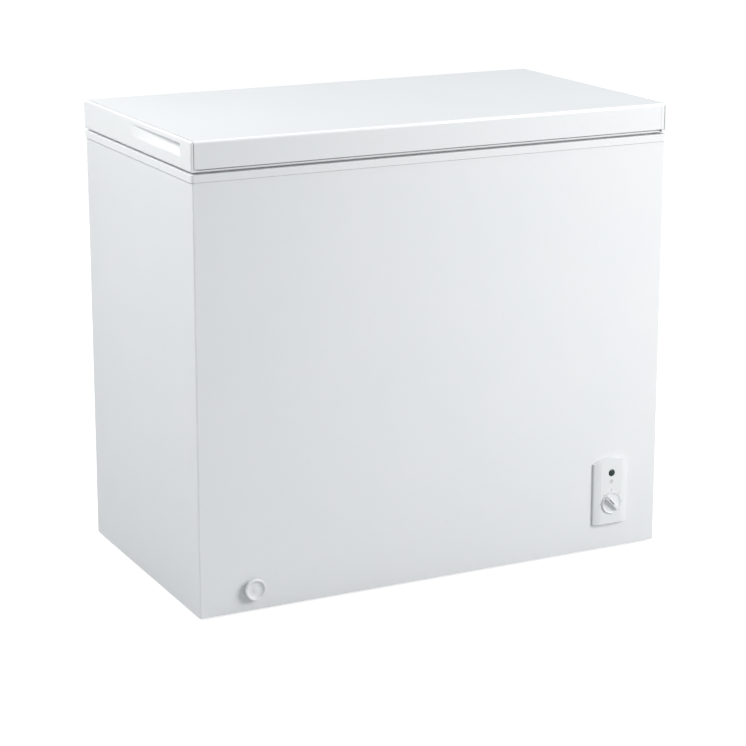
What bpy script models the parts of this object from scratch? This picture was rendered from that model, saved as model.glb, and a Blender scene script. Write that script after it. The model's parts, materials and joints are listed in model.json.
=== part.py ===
# Chest freezer, as an assembly of separate pieces.
# Metres, +Z up, front towards -Y, left towards -X. The origin lies on the floor,
# under the middle of the whole object.

import math

import bmesh
import bpy
from mathutils import Matrix, Vector

# Overall sizes. The lid and the collar have the same outline; the cabinet stands inside it.
OVERALL_WIDTH = 0.945
OVERALL_DEPTH = 0.523
OVERALL_HEIGHT = 0.850
SIDE_OVERHANG = 0.0025
FRONT_OVERHANG = 0.0015
FOOT_HEIGHT = 0.005
COLLAR_HEIGHT = 0.014
LID_GAP = 0.0035
LID_HEIGHT = 0.0535

# Sheets, walls and clearances.
GAP = 0.0003
SHEET = 0.0008
SHELL_RADIUS = 0.003
WALL = 0.064
FLOOR_HEIGHT = 0.075
LINER = 0.001
LINER_RADIUS = 0.022
LINER_FLANGE = 0.008
COLLAR_RADIUS = 0.006
COLLAR_TOP_SKIN = 0.0025
COLLAR_INNER_WALL = 0.010
COMPARTMENT_WIDTH = 0.190
COMPARTMENT_HEIGHT = 0.235
STEP_WALL = 0.055
REAR_FLANGE = 0.020

# Coils.
EVAPORATOR_RADIUS = 0.004
EVAPORATOR_TURNS = 5
EVAPORATOR_TOP_DROP = 0.045
EVAPORATOR_STEP_RISE = 0.045
CONDENSER_RADIUS = 0.0025
CONDENSER_RUNS = 4
CONDENSER_BEND = 0.015
CONDENSER_LOW = 0.370
CONDENSER_PITCH = 0.110
COIL_END_DROP = 0.030

# Controls, measured from the cabinet's right side and its bottom edge.
CONTROL_INSET = 0.103
KNOB_RISE = 0.091
LAMP_RISE = 0.150
BEZEL_WIDTH = 0.074
BEZEL_BOTTOM_RISE = 0.050
BEZEL_SIDE_HEIGHT = 0.119
BEZEL_ARCH = 0.009
BEZEL_EDGE = 0.0045
BEZEL_CROWN = 0.0045
BEZEL_SLOPE = 0.015
BEZEL_SKIN = 0.0028
KNOB_RADIUS = 0.0205
KNOB_BASE = 0.003
KNOB_FIN = 0.0085
KNOB_FIN_WIDTH = 0.011
KNOB_TURN = math.radians(45)
SHAFT_RADIUS = 0.003
LENS_RADIUS = 0.0065
THERMOSTAT_SIZE = 0.038
THERMOSTAT_DEPTH = 0.040

# Drain, measured from the cabinet's left side and its bottom edge.
DRAIN_INSET = 0.102
DRAIN_RISE = 0.0405
DRAIN_DEPTH = 0.105
PIPE_RADIUS = 0.013
PIPE_WALL = 0.0034
STEM_LENGTH = 0.055
STEM_WALL = 0.0023
CAP_RADIUS = 0.020
CAP_REACH = 0.013
CAP_STANDOFF = 0.005
CAP_DISC = 0.0045
CAP_SOCKET = 0.0025
CAP_NECK_RADIUS = 0.013
ESCUTCHEON_RADIUS = 0.017
ESCUTCHEON_THICK = 0.0025

# Lid.
LID_SKIRT = 0.0055
LID_EDGE_RADIUS = 0.005
CAP_PLATE = 0.005
CAP_ROUNDING = 0.0035
CAP_SEAM = 0.0008
CAP_CORNER_WIDTH = 0.0105
CAP_CORNER_DEPTH = 0.003
LID_LINER_RECESS = 0.004
LID_LINER_LIP = 0.003
LID_LINER_PLATE = 0.003
GASKET_INSET = 0.012
GASKET_WIDTH = 0.013
SCOOP_START = 0.048
SCOOP_END = 0.282
SCOOP_DROP = 0.0095
SCOOP_HEIGHT = 0.0225
SCOOP_DEPTH = 0.020
SCOOP_WALL = 0.0025
SCOOP_BACK = 0.004

# Hinges: a lever on the lid's arm lets a sprung plunger rise as the lid opens.
HINGE_SPACING = 0.600
HINGE_OFFSET = 0.014
HINGE_WIDTH = 0.034
HINGE_PLATE = 0.002
HINGE_DROP = 0.105
HINGE_ARM_WIDTH = 0.025
HINGE_ARM_HEIGHT = 0.040
HINGE_LUG_RADIUS = 0.0080
BARREL_RADIUS = 0.0055
PIN_RADIUS = 0.003
PIN_CLEARANCE = 0.0002
LEVER_LENGTH = 0.0105
LEVER_DROP_ANGLE = math.radians(40)
LEVER_HALF_THICK = 0.0015
ROLLER_RADIUS = 0.0022
ROLLER_LENGTH = 0.012
ROLLER_CLEARANCE = 0.0004
PLUNGER_OFFSET = 0.0093
PLUNGER_RADIUS = 0.0032
PLUNGER_TIP_RADIUS = 0.0015
PLUNGER_LENGTH = 0.022
SPRING_RADIUS = 0.0048
SPRING_WIRE = 0.0008
SPRING_TURNS = 6

# Basket.
BASKET_LENGTH = 0.220
BASKET_DEPTH = 0.190
BASKET_WALL = 0.004
BASKET_SIDE_CLEARANCE = 0.006
BASKET_END_CLEARANCE = 0.016
BASKET_HOOK = 0.004
BASKET_HOOK_REACH = 0.016

# Compressor compartment.
COMPRESSOR_RADIUS = 0.068
COMPRESSOR_HEIGHT = 0.150
COMPRESSOR_FROM_REAR = 0.120
GROMMET_HEIGHT = 0.012
GROMMET_RADIUS = 0.010
RAIL_THICK = 0.002
RAIL_LIP = 0.012
RAIL_HALF_LENGTH = 0.088
TUBE_RADIUS = 0.003
DRIER_RADIUS = 0.009
DRIER_LENGTH = 0.110
GRILLE_THICK = 0.003
VENT_THICK = 0.0022
BUSH_RADIUS = 0.007

FOOT_RADIUS = 0.020
FOOT_INSET_X = 0.060
FOOT_INSET_Y = 0.055
PLUG_RADIUS = 0.012
PLUG_FLANGE = 0.016
CORNER_STEPS = 4
ROUND_STEPS = 24
OVERCUT = 0.005

# Sizes and places that follow from those above.
HALF_WIDTH = OVERALL_WIDTH / 2
SHELL_HALF = HALF_WIDTH - SIDE_OVERHANG
CABINET_DEPTH = OVERALL_DEPTH - 2 * FRONT_OVERHANG
BEZEL_FACE = BEZEL_EDGE + BEZEL_CROWN
FRONT_REACH = max(CAP_REACH, BEZEL_FACE + KNOB_BASE + KNOB_FIN)
REAR_REACH = FRONT_OVERHANG + HINGE_OFFSET + HINGE_LUG_RADIUS
FRONT = FRONT_REACH - (FRONT_REACH + CABINET_DEPTH + REAR_REACH) / 2
REAR = FRONT + CABINET_DEPTH
LID_FRONT = FRONT - FRONT_OVERHANG
LID_REAR = REAR + FRONT_OVERHANG
LID_BOTTOM = OVERALL_HEIGHT - LID_HEIGHT
LID_SHEET_BOTTOM = LID_BOTTOM + LID_SKIRT
COLLAR_TOP = LID_BOTTOM - LID_GAP
COLLAR_BOTTOM = COLLAR_TOP - COLLAR_HEIGHT
SHELL_TOP = COLLAR_BOTTOM - GAP
PAN_TOP = FOOT_HEIGHT + SHEET
INNER_HALF = SHELL_HALF - WALL
INNER_FRONT = FRONT + WALL
INNER_REAR = REAR - WALL
PARTITION_X = SHELL_HALF - SHEET - COMPARTMENT_WIDTH
COMPARTMENT_TOP = PAN_TOP + COMPARTMENT_HEIGHT
STEP_LEFT = PARTITION_X - STEP_WALL
STEP_TOP = COMPARTMENT_TOP + STEP_WALL
REAR_PANEL_OUTER = REAR - SHEET - GAP
REAR_PANEL_INNER = REAR_PANEL_OUTER - SHEET
FOAM_REAR = REAR_PANEL_INNER - GAP
CONTROL_X = SHELL_HALF - CONTROL_INSET
KNOB_Z = FOOT_HEIGHT + KNOB_RISE
LAMP_Z = FOOT_HEIGHT + LAMP_RISE
BEZEL_BOTTOM = FOOT_HEIGHT + BEZEL_BOTTOM_RISE
DRAIN_X = DRAIN_INSET - SHELL_HALF
DRAIN_Z = FOOT_HEIGHT + DRAIN_RISE
DRAIN_Y = FRONT + DRAIN_DEPTH
PIPE_BORE = PIPE_RADIUS - PIPE_WALL
STEM_RADIUS = PIPE_BORE - 2 * GAP
PIN_Y = LID_REAR + HINGE_OFFSET
PIN_Z = LID_BOTTOM + LID_GAP / 7
COMPRESSOR_X = SHELL_HALF - SHEET - COMPARTMENT_WIDTH / 2
COMPRESSOR_Y = REAR - COMPRESSOR_FROM_REAR
RAIL_TOP = PAN_TOP + GAP + RAIL_THICK
COMPRESSOR_BOTTOM = RAIL_TOP + GROMMET_HEIGHT + 2 * GAP
CONDENSER_OFFSET = SHEET + GAP + CONDENSER_RADIUS
CONDENSER_X = SHELL_HALF - CONDENSER_OFFSET
CONDENSER_DROP_Y = FRONT + CABINET_DEPTH * 0.55
EVAPORATOR_OFFSET = LINER + GAP + EVAPORATOR_RADIUS
EVAPORATOR_X = INNER_HALF + EVAPORATOR_OFFSET
EVAPORATOR_DROP_Y = FRONT + CABINET_DEPTH * 0.45
COIL_END_Z = COMPARTMENT_TOP - COIL_END_DROP

# Where an outline's two coordinates and the distance along its axis go.
AXES = {
    "X": lambda a, b, along: (along, a, b),
    "Y": lambda a, b, along: (a, along, b),
    "Z": lambda a, b, along: (a, b, along),
}


# Outlines

def rectangle(a_low, a_high, b_low, b_high):
    return [(a_low, b_low), (a_high, b_low), (a_high, b_high), (a_low, b_high)]


def rounded_rectangle(a_low, a_high, b_low, b_high, radius, steps=CORNER_STEPS):
    centres = [
        (a_high - radius, b_high - radius, 0),
        (a_low + radius, b_high - radius, 90),
        (a_low + radius, b_low + radius, 180),
        (a_high - radius, b_low + radius, 270),
    ]
    points = []
    for a, b, start in centres:
        for step in range(steps + 1):
            angle = math.radians(start + 90 * step / steps)
            points.append((a + radius * math.cos(angle), b + radius * math.sin(angle)))
    return points


def circle(radius, centre=(0, 0), steps=ROUND_STEPS):
    turn = 2 * math.pi / steps
    return [
        (centre[0] + radius * math.cos(i * turn), centre[1] + radius * math.sin(i * turn))
        for i in range(steps)
    ]


# Points along a path whose inner corners are rounded.
def rounded_path(corners, radius, steps=3):
    corners = [Vector(corner) for corner in corners]
    points = [corners[0]]
    for before, corner, after in zip(corners, corners[1:], corners[2:]):
        back = (before - corner).normalized()
        on = (after - corner).normalized()
        half = back.angle(on) / 2
        reach = radius / math.tan(half)
        centre = corner + (back + on).normalized() * radius / math.sin(half)
        first = corner + back * reach - centre
        last = corner + on * reach - centre
        sweep = math.pi - 2 * half
        for step in range(steps + 1):
            share = step / steps
            before_part = math.sin((1 - share) * sweep) * first
            after_part = math.sin(share * sweep) * last
            points.append(centre + (before_part + after_part) / math.sin(sweep))
    points.append(corners[-1])
    return points


# The closed outline of a bent sheet, from the corners of its two faces.
def sheet_outline(outer, inner, radius, thickness):
    outer_path = rounded_path([(a, b, 0) for a, b in outer], radius)
    inner_path = rounded_path([(a, b, 0) for a, b in inner], radius - thickness)
    return [(p.x, p.y) for p in outer_path + inner_path[::-1]]


def cabinet_outline(inset):
    radius = max(SHELL_RADIUS - inset, 0.0005)
    return rounded_rectangle(
        inset - SHELL_HALF, SHELL_HALF - inset, FRONT + inset, REAR - inset, radius
    )


def lid_outline(inset, radius):
    return rounded_rectangle(
        inset - HALF_WIDTH, HALF_WIDTH - inset, LID_FRONT + inset, LID_REAR - inset, radius
    )


# Plan of the freezer's inside, over the step or only the deep part, grown outwards.
def inner_outline(grow, deep=False):
    right = STEP_LEFT if deep else INNER_HALF
    return rounded_rectangle(
        -INNER_HALF - grow, right + grow, INNER_FRONT - grow, INNER_REAR + grow, LINER_RADIUS + grow
    )


# Materials and objects

def make_material(name, colour, roughness, metallic=0.0):
    material = bpy.data.materials.new(name)
    material.use_nodes = True
    shader = material.node_tree.nodes["Principled BSDF"]
    shader.inputs["Base Color"].default_value = (*colour, 1.0)
    shader.inputs["Roughness"].default_value = roughness
    shader.inputs["Metallic"].default_value = metallic
    return material


def add_object(name, data, look=None):
    piece = bpy.data.objects.new(name, data)
    bpy.context.scene.collection.objects.link(piece)
    if look:
        piece.data.materials.append(make_material(name, *LOOKS[look]))
    return piece


# Skins a row of matching loops of points. A ring joins the last loop to the first, and
# split sides are triangles, so that twisted walls of two nested pieces run alike.
def loft(name, loops, look=None, ring=False, smooth=False, split=False):
    shape = bmesh.new()
    rows = [[shape.verts.new(point) for point in loop] for loop in loops]
    pairs = list(zip(rows, rows[1:]))
    if ring:
        pairs.append((rows[-1], rows[0]))
    else:
        shape.faces.new(rows[0])
        shape.faces.new(rows[-1])
    count = len(rows[0])
    for low, high in pairs:
        for i in range(count):
            j = (i + 1) % count
            if split:
                shape.faces.new((low[i], low[j], high[j]))
                shape.faces.new((low[i], high[j], high[i]))
            else:
                shape.faces.new((low[i], low[j], high[j], high[i]))
    bmesh.ops.recalc_face_normals(shape, faces=shape.faces)
    mesh = bpy.data.meshes.new(name)
    shape.to_mesh(mesh)
    shape.free()
    if smooth:
        mesh.shade_smooth()
        mesh.set_sharp_from_angle(angle=math.radians(35))
    return add_object(name, mesh, look)


def prism(name, outline, axis, start, end, look=None):
    place = AXES[axis]
    return loft(name, [[place(a, b, along) for a, b in outline] for along in (start, end)], look)


def ring_prism(name, outer, inner, start, end, look=None):
    loops = [(outer, start), (outer, end), (inner, end), (inner, start)]
    return loft(name, [[(a, b, z) for a, b in outline] for outline, z in loops], look, ring=True)


# A turned piece. The profile is a row of (radius, distance along the axis).
def turned(name, profile, axis, centre, look=None, ring=False, steps=ROUND_STEPS):
    place = AXES[axis]
    loops = [[place(a, b, along) for a, b in circle(radius, centre, steps)] for radius, along in profile]
    return loft(name, loops, look, ring, smooth=True)


def cylinder(name, radius, axis, centre, start, end, look=None, steps=ROUND_STEPS):
    return turned(name, [(radius, start), (radius, end)], axis, centre, look, steps=steps)


def block(name, low, high, look=None):
    return prism(name, rectangle(low[0], high[0], low[1], high[1]), "Z", low[2], high[2], look)


def tube(name, points, radius, look=None, resolution=2):
    curve = bpy.data.curves.new(name, "CURVE")
    curve.dimensions = "3D"
    curve.bevel_depth = radius
    curve.bevel_resolution = resolution
    curve.use_fill_caps = True
    spline = curve.splines.new("POLY")
    spline.points.add(len(points) - 1)
    for target, point in zip(spline.points, points):
        target.co = (*point, 1.0)
    return add_object(name, curve, look)


def combine(piece, tool, operation):
    tool.hide_render = True
    tool.display_type = "WIRE"
    modifier = piece.modifiers.new(tool.name, "BOOLEAN")
    modifier.operation = operation
    modifier.object = tool


def cut(piece, *tools):
    for tool in tools:
        combine(piece, tool, "DIFFERENCE")


def join(piece, *tools):
    for tool in tools:
        combine(piece, tool, "UNION")


# Hangs pieces on an empty at their joint without moving them.
def hang(joint, point, *pieces):
    pivot = bpy.data.objects.new(joint, None)
    pivot.location = point
    bpy.context.scene.collection.objects.link(pivot)
    for piece in pieces:
        piece.parent = pivot
        piece.matrix_parent_inverse = Matrix.Translation(-Vector(point))


# Colour, roughness and metallic value of each kind of piece.
LOOKS = {
    "white_steel": ((0.86, 0.87, 0.88), 0.35),
    "white_plastic": ((0.87, 0.88, 0.88), 0.42),
    "liner_white": ((0.90, 0.91, 0.91), 0.38),
    "grey_plastic": ((0.55, 0.57, 0.58), 0.5),
    "zinc": ((0.60, 0.61, 0.62), 0.38, 1.0),
    "foam": ((0.83, 0.76, 0.55), 0.9),
    "copper": ((0.72, 0.42, 0.28), 0.3, 1.0),
    "aluminium": ((0.75, 0.76, 0.77), 0.35, 1.0),
    "black_steel": ((0.03, 0.03, 0.03), 0.45),
    "black_plastic": ((0.04, 0.04, 0.04), 0.5),
    "rubber": ((0.05, 0.05, 0.05), 0.7),
    "white_rubber": ((0.80, 0.81, 0.81), 0.6),
    "green_lens": ((0.02, 0.10, 0.07), 0.15),
    "coated_wire": ((0.88, 0.89, 0.89), 0.35),
}


# Cabinet

# Sheet steel round the front and both sides, with narrow flanges turned in at the rear.
def outer_shell():
    side = SHELL_HALF
    face = SHELL_HALF - SHEET
    outer = [
        (REAR_FLANGE - side, REAR), (-side, REAR), (-side, FRONT),
        (side, FRONT), (side, REAR), (side - REAR_FLANGE, REAR),
    ]
    inner = [
        (REAR_FLANGE - side, REAR - SHEET), (-face, REAR - SHEET), (-face, FRONT + SHEET),
        (face, FRONT + SHEET), (face, REAR - SHEET), (side - REAR_FLANGE, REAR - SHEET),
    ]
    outline = sheet_outline(outer, inner, SHELL_RADIUS, SHEET)
    shell = prism("outer_shell", outline, "Z", FOOT_HEIGHT, SHELL_TOP, "white_steel")
    half = THERMOSTAT_SIZE / 2 + 0.002
    window = block(
        "control_window",
        (CONTROL_X - half, FRONT - OVERCUT, KNOB_Z - half),
        (CONTROL_X + half, FRONT + OVERCUT, LAMP_Z + half / 2),
    )
    hole = cylinder(
        "drain_hole", PIPE_BORE + 0.001, "Y", (DRAIN_X, DRAIN_Z), FRONT - OVERCUT, FRONT + OVERCUT
    )
    low, high = vent_window()
    side_hole = block(
        "vent_window", (SHELL_HALF - OVERCUT, low[0], low[1]), (HALF_WIDTH + OVERCUT, high[0], high[1])
    )
    cut(shell, window, hole, side_hole)


# The ventilation window in the right side, as (y, z) corners.
def vent_window():
    middle = COMPRESSOR_Y
    low = COMPARTMENT_HEIGHT * 0.20 + PAN_TOP
    high = COMPARTMENT_HEIGHT * 0.80 + PAN_TOP
    return (middle - 0.075, low), (middle + 0.075, high)


# The compartment's window in the rear panel, as (x, z) corners.
def rear_window():
    margin = 0.022
    return (
        (PARTITION_X + margin, PAN_TOP + margin),
        (SHELL_HALF - REAR_FLANGE - margin / 2, COMPARTMENT_TOP - margin),
    )


def plug_places():
    high = COLLAR_BOTTOM * 0.62
    return [(-SHELL_HALF / 2, high), (SHELL_HALF / 2, high)]


def rear_panel():
    half = SHELL_HALF - SHELL_RADIUS
    panel = block(
        "rear_panel",
        (-half, REAR_PANEL_INNER, PAN_TOP + GAP),
        (half, REAR_PANEL_OUTER, SHELL_TOP),
        "zinc",
    )
    low, high = rear_window()
    window = block(
        "rear_window",
        (low[0], REAR_PANEL_INNER - OVERCUT, low[1]),
        (high[0], REAR_PANEL_OUTER + OVERCUT, high[1]),
    )
    cut(panel, window)
    for number, place in enumerate(plug_places(), 1):
        hole = cylinder(
            f"plug_hole_{number}", PLUG_RADIUS, "Y", place,
            REAR_PANEL_INNER - OVERCUT, REAR_PANEL_OUTER + OVERCUT,
        )
        cut(panel, hole)


def foam_plugs():
    face = REAR_PANEL_OUTER + GAP
    profile = [
        (PLUG_RADIUS - GAP, REAR_PANEL_INNER), (PLUG_RADIUS - GAP, face),
        (PLUG_FLANGE, face), (PLUG_FLANGE, face + 0.0012), (PLUG_FLANGE - 0.001, face + 0.002),
    ]
    for side, place in zip(("left", "right"), plug_places()):
        turned(f"foam_plug_{side}", profile, "Y", place, "grey_plastic")


def base_pan():
    pan = prism("base_pan", cabinet_outline(SHEET + GAP), "Z", FOOT_HEIGHT, PAN_TOP, "zinc")
    margin = 0.022
    opening = block(
        "pan_opening",
        (PARTITION_X + margin, FRONT + CABINET_DEPTH * 0.25, FOOT_HEIGHT - OVERCUT),
        (SHELL_HALF - margin, REAR - CABINET_DEPTH * 0.25, PAN_TOP + OVERCUT),
    )
    cut(pan, opening)


def feet():
    profile = [
        (FOOT_RADIUS - 0.0015, 0.0), (FOOT_RADIUS, 0.0015), (FOOT_RADIUS, FOOT_HEIGHT - GAP),
    ]
    for x_name, x in (("left", FOOT_INSET_X - SHELL_HALF), ("right", SHELL_HALF - FOOT_INSET_X)):
        for y_name, y in (("front", FRONT + FOOT_INSET_Y), ("rear", REAR - FOOT_INSET_Y)):
            turned(f"foot_{y_name}_{x_name}", profile, "Z", (x, y), "black_plastic")


# Sheet bent over the compartment: an upright wall and a top.
def compartment_partition():
    right = CONDENSER_X - CONDENSER_RADIUS - 0.0015
    low = PAN_TOP + GAP
    inner = [(PARTITION_X, low), (PARTITION_X, COMPARTMENT_TOP), (right, COMPARTMENT_TOP)]
    outer = [
        (PARTITION_X - SHEET, low), (PARTITION_X - SHEET, COMPARTMENT_TOP + SHEET),
        (right, COMPARTMENT_TOP + SHEET),
    ]
    outline = sheet_outline(outer, inner, 0.004, SHEET)
    partition = prism(
        "compartment_partition", outline, "Y", FRONT + SHEET + GAP, REAR_PANEL_INNER - GAP, "zinc"
    )
    hole = cylinder(
        "partition_tube_hole", EVAPORATOR_RADIUS + 0.001, "Z", (EVAPORATOR_X, EVAPORATOR_DROP_Y),
        COMPARTMENT_TOP - OVERCUT, COMPARTMENT_TOP + OVERCUT,
    )
    cut(partition, hole)


# A prism of the freezer's inside, grown outwards by the given amount.
def inside(name, grow, low, high, deep=False):
    return prism(name, inner_outline(grow, deep), "Z", low, high)


def cabinet_foam():
    inset = SHEET + GAP
    outline = rounded_rectangle(
        inset - SHELL_HALF, SHELL_HALF - inset, FRONT + inset, FOAM_REAR, SHELL_RADIUS - inset
    )
    rib_top = COLLAR_TOP - COLLAR_TOP_SKIN - GAP
    flange_bottom = COLLAR_BOTTOM - LINER - 2 * GAP
    foam = prism("cabinet_foam", outline, "Z", PAN_TOP + GAP, rib_top, "foam")
    grow = LINER + GAP
    coil_space = LINER + 2 * EVAPORATOR_RADIUS + 3 * GAP
    compartment = block(
        "foam_compartment",
        (PARTITION_X - SHEET - GAP, FRONT - OVERCUT, -OVERCUT),
        (HALF_WIDTH + OVERCUT, REAR + OVERCUT, COMPARTMENT_TOP + SHEET + GAP),
    )
    cut(
        foam,
        compartment,
        inside("foam_deep", grow, FLOOR_HEIGHT - grow, COLLAR_TOP, deep=True),
        inside("foam_shallow", grow, STEP_TOP - grow, COLLAR_TOP),
        inside("foam_rim", COLLAR_INNER_WALL + GAP, flange_bottom, COLLAR_TOP),
        inside(
            "foam_coil_space", coil_space,
            STEP_TOP + EVAPORATOR_STEP_RISE - 0.02, COLLAR_BOTTOM - EVAPORATOR_TOP_DROP + 0.01,
        ),
    )
    depth = CONDENSER_OFFSET + CONDENSER_RADIUS + GAP
    condenser_high = CONDENSER_LOW + (CONDENSER_RUNS - 1) * CONDENSER_PITCH
    recess = ring_prism(
        "foam_condenser_space",
        rounded_rectangle(
            -HALF_WIDTH - OVERCUT, HALF_WIDTH + OVERCUT, FRONT - OVERCUT, REAR + 3 * OVERCUT,
            CONDENSER_BEND,
        ),
        rounded_rectangle(
            depth - SHELL_HALF, SHELL_HALF - depth, FRONT + depth, REAR + 2 * OVERCUT, CONDENSER_BEND
        ),
        CONDENSER_LOW - 0.02,
        condenser_high + 0.02,
    )
    channel = block(
        "foam_condenser_drop",
        (SHELL_HALF - depth, CONDENSER_DROP_Y - 0.012, COMPARTMENT_TOP - OVERCUT),
        (HALF_WIDTH, CONDENSER_DROP_Y + 0.012, CONDENSER_LOW),
    )
    drop = cylinder(
        "foam_evaporator_drop", EVAPORATOR_RADIUS + 0.001, "Z", (EVAPORATOR_X, EVAPORATOR_DROP_Y),
        COMPARTMENT_TOP - OVERCUT, STEP_TOP + EVAPORATOR_STEP_RISE,
    )
    upright = cylinder(
        "foam_pipe_upright", PIPE_RADIUS + 0.0015, "Z", (DRAIN_X, DRAIN_Y),
        DRAIN_Z - PIPE_RADIUS - 0.0015, FLOOR_HEIGHT + OVERCUT,
    )
    level = cylinder(
        "foam_pipe_level", PIPE_RADIUS + 0.0005, "Y", (DRAIN_X, DRAIN_Z), FRONT - OVERCUT, DRAIN_Y
    )
    cut(foam, recess, channel, drop, upright, level)


def inner_liner():
    top = COLLAR_BOTTOM - GAP
    liner = prism("inner_liner", inner_outline(LINER, True), "Z", FLOOR_HEIGHT - LINER, top, "liner_white")
    join(
        liner,
        inside("liner_upper", LINER, STEP_TOP - LINER, top),
        inside("liner_flange", LINER_FLANGE, top - LINER, top),
    )
    cut(
        liner,
        inside("liner_deep_inside", 0.0, FLOOR_HEIGHT, top + OVERCUT, deep=True),
        inside("liner_upper_inside", 0.0, STEP_TOP, top + OVERCUT),
        cylinder(
            "liner_drain_hole", PIPE_RADIUS + 0.0013, "Z", (DRAIN_X, DRAIN_Y),
            FLOOR_HEIGHT - OVERCUT, FLOOR_HEIGHT + OVERCUT,
        ),
    )


# Plastic frame on the cabinet's rim, hollow underneath for the foam's rib.
def collar():
    frame = ring_prism(
        "collar", lid_outline(0.0, COLLAR_RADIUS), inner_outline(0.0), COLLAR_BOTTOM, COLLAR_TOP,
        "white_plastic",
    )
    channel = ring_prism(
        "collar_channel",
        cabinet_outline(SHEET),
        inner_outline(COLLAR_INNER_WALL),
        COLLAR_BOTTOM - OVERCUT,
        COLLAR_TOP - COLLAR_TOP_SKIN,
    )
    cut(frame, channel)


# A tube wound round the liner in falling turns; its lower end drops into the compartment.
def evaporator_coil():
    high = COLLAR_BOTTOM - EVAPORATOR_TOP_DROP
    low = STEP_TOP + EVAPORATOR_STEP_RISE
    pitch = (high - low) / EVAPORATOR_TURNS
    loop = [Vector((x, y, 0)) for x, y in inner_outline(EVAPORATOR_OFFSET)]
    sides = [(after - before).length for before, after in zip(loop, loop[1:] + loop[:1])]
    round_length = sum(sides)
    points = []
    run = 0.0
    for _ in range(EVAPORATOR_TURNS):
        for corner, side in zip(loop, sides):
            points.append((corner.x, corner.y, high - pitch * run / round_length))
            run += side
    points.append((EVAPORATOR_X, EVAPORATOR_DROP_Y - 0.02, low))
    points.append((EVAPORATOR_X, EVAPORATOR_DROP_Y - 0.006, low - 0.002))
    points.append((EVAPORATOR_X, EVAPORATOR_DROP_Y, low - 0.008))
    points.append((EVAPORATOR_X, EVAPORATOR_DROP_Y, COIL_END_Z))
    tube("evaporator_coil", points, EVAPORATOR_RADIUS, "aluminium", resolution=1)


# A tube run back and forth round the inside of the shell, from the compartment upwards.
def condenser_coil():
    side = CONDENSER_X
    near = FRONT + CONDENSER_OFFSET
    far = REAR - 0.06
    corners = [(side, CONDENSER_DROP_Y, COIL_END_Z - 0.04), (side, CONDENSER_DROP_Y, CONDENSER_LOW)]
    for run in range(CONDENSER_RUNS):
        height = CONDENSER_LOW + run * CONDENSER_PITCH
        sign = 1 if run % 2 == 0 else -1
        if run:
            corners.append((sign * side, far, height))
        corners += [(sign * side, near, height), (-sign * side, near, height), (-sign * side, far, height)]
    route = rounded_path(corners, CONDENSER_BEND)
    tube("condenser_coil", route, CONDENSER_RADIUS, "copper", resolution=1)


# Compressor compartment

def compressor():
    low = PAN_TOP + GAP
    front = COMPRESSOR_Y - RAIL_HALF_LENGTH
    rear = COMPRESSOR_Y + RAIL_HALF_LENGTH
    outer = [(front, low + RAIL_LIP), (front, low), (rear, low), (rear, low + RAIL_LIP)]
    inner = [
        (front + RAIL_THICK, low + RAIL_LIP), (front + RAIL_THICK, low + RAIL_THICK),
        (rear - RAIL_THICK, low + RAIL_THICK), (rear - RAIL_THICK, low + RAIL_LIP),
    ]
    outline = sheet_outline(outer, inner, 0.004, RAIL_THICK)
    prism(
        "compressor_rail", outline, "X", PARTITION_X + GAP, SHELL_HALF - SHEET - GAP, "zinc"
    )
    bottom = COMPRESSOR_BOTTOM
    radius = COMPRESSOR_RADIUS
    top = bottom + COMPRESSOR_HEIGHT
    profile = [
        (radius * 0.62, bottom), (radius * 0.90, bottom + 0.010), (radius, bottom + 0.035),
        (radius, top - 0.075), (radius + 0.002, top - 0.073), (radius + 0.002, top - 0.068),
        (radius, top - 0.066), (radius, top - 0.045), (radius * 0.90, top - 0.018),
        (radius * 0.62, top - 0.004), (radius * 0.25, top),
    ]
    housing = turned(
        "compressor_housing", profile, "Z", (COMPRESSOR_X, COMPRESSOR_Y), "black_steel", steps=28
    )
    half = radius - 0.002
    plate = prism(
        "compressor_foot_plate",
        rounded_rectangle(
            COMPRESSOR_X - half, COMPRESSOR_X + half, COMPRESSOR_Y - half, COMPRESSOR_Y + half, 0.012
        ),
        "Z", bottom, bottom + 0.003,
    )
    join(housing, plate)
    profile = [
        (GROMMET_RADIUS, RAIL_TOP + GAP), (GROMMET_RADIUS, RAIL_TOP + GAP + 0.004),
        (GROMMET_RADIUS - 0.002, RAIL_TOP + GAP + 0.005), (GROMMET_RADIUS, bottom - GAP - 0.004),
        (GROMMET_RADIUS, bottom - GAP),
    ]
    spread = half - 0.014
    number = 0
    for x in (-spread, spread):
        for y in (-spread, spread):
            number += 1
            turned(
                f"compressor_grommet_{number}", profile, "Z",
                (COMPRESSOR_X + x, COMPRESSOR_Y + y), "rubber", steps=16,
            )


# Relay cover on the side of the compressor that faces the partition.
def starter_box():
    edge = COMPRESSOR_X - COMPRESSOR_RADIUS - 0.003
    middle = COMPRESSOR_BOTTOM + 0.080
    block(
        "starter_box", (PARTITION_X + GAP + 0.001, COMPRESSOR_Y - 0.025, middle - 0.025),
        (edge, COMPRESSOR_Y + 0.025, middle + 0.025), "black_plastic",
    )


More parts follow.
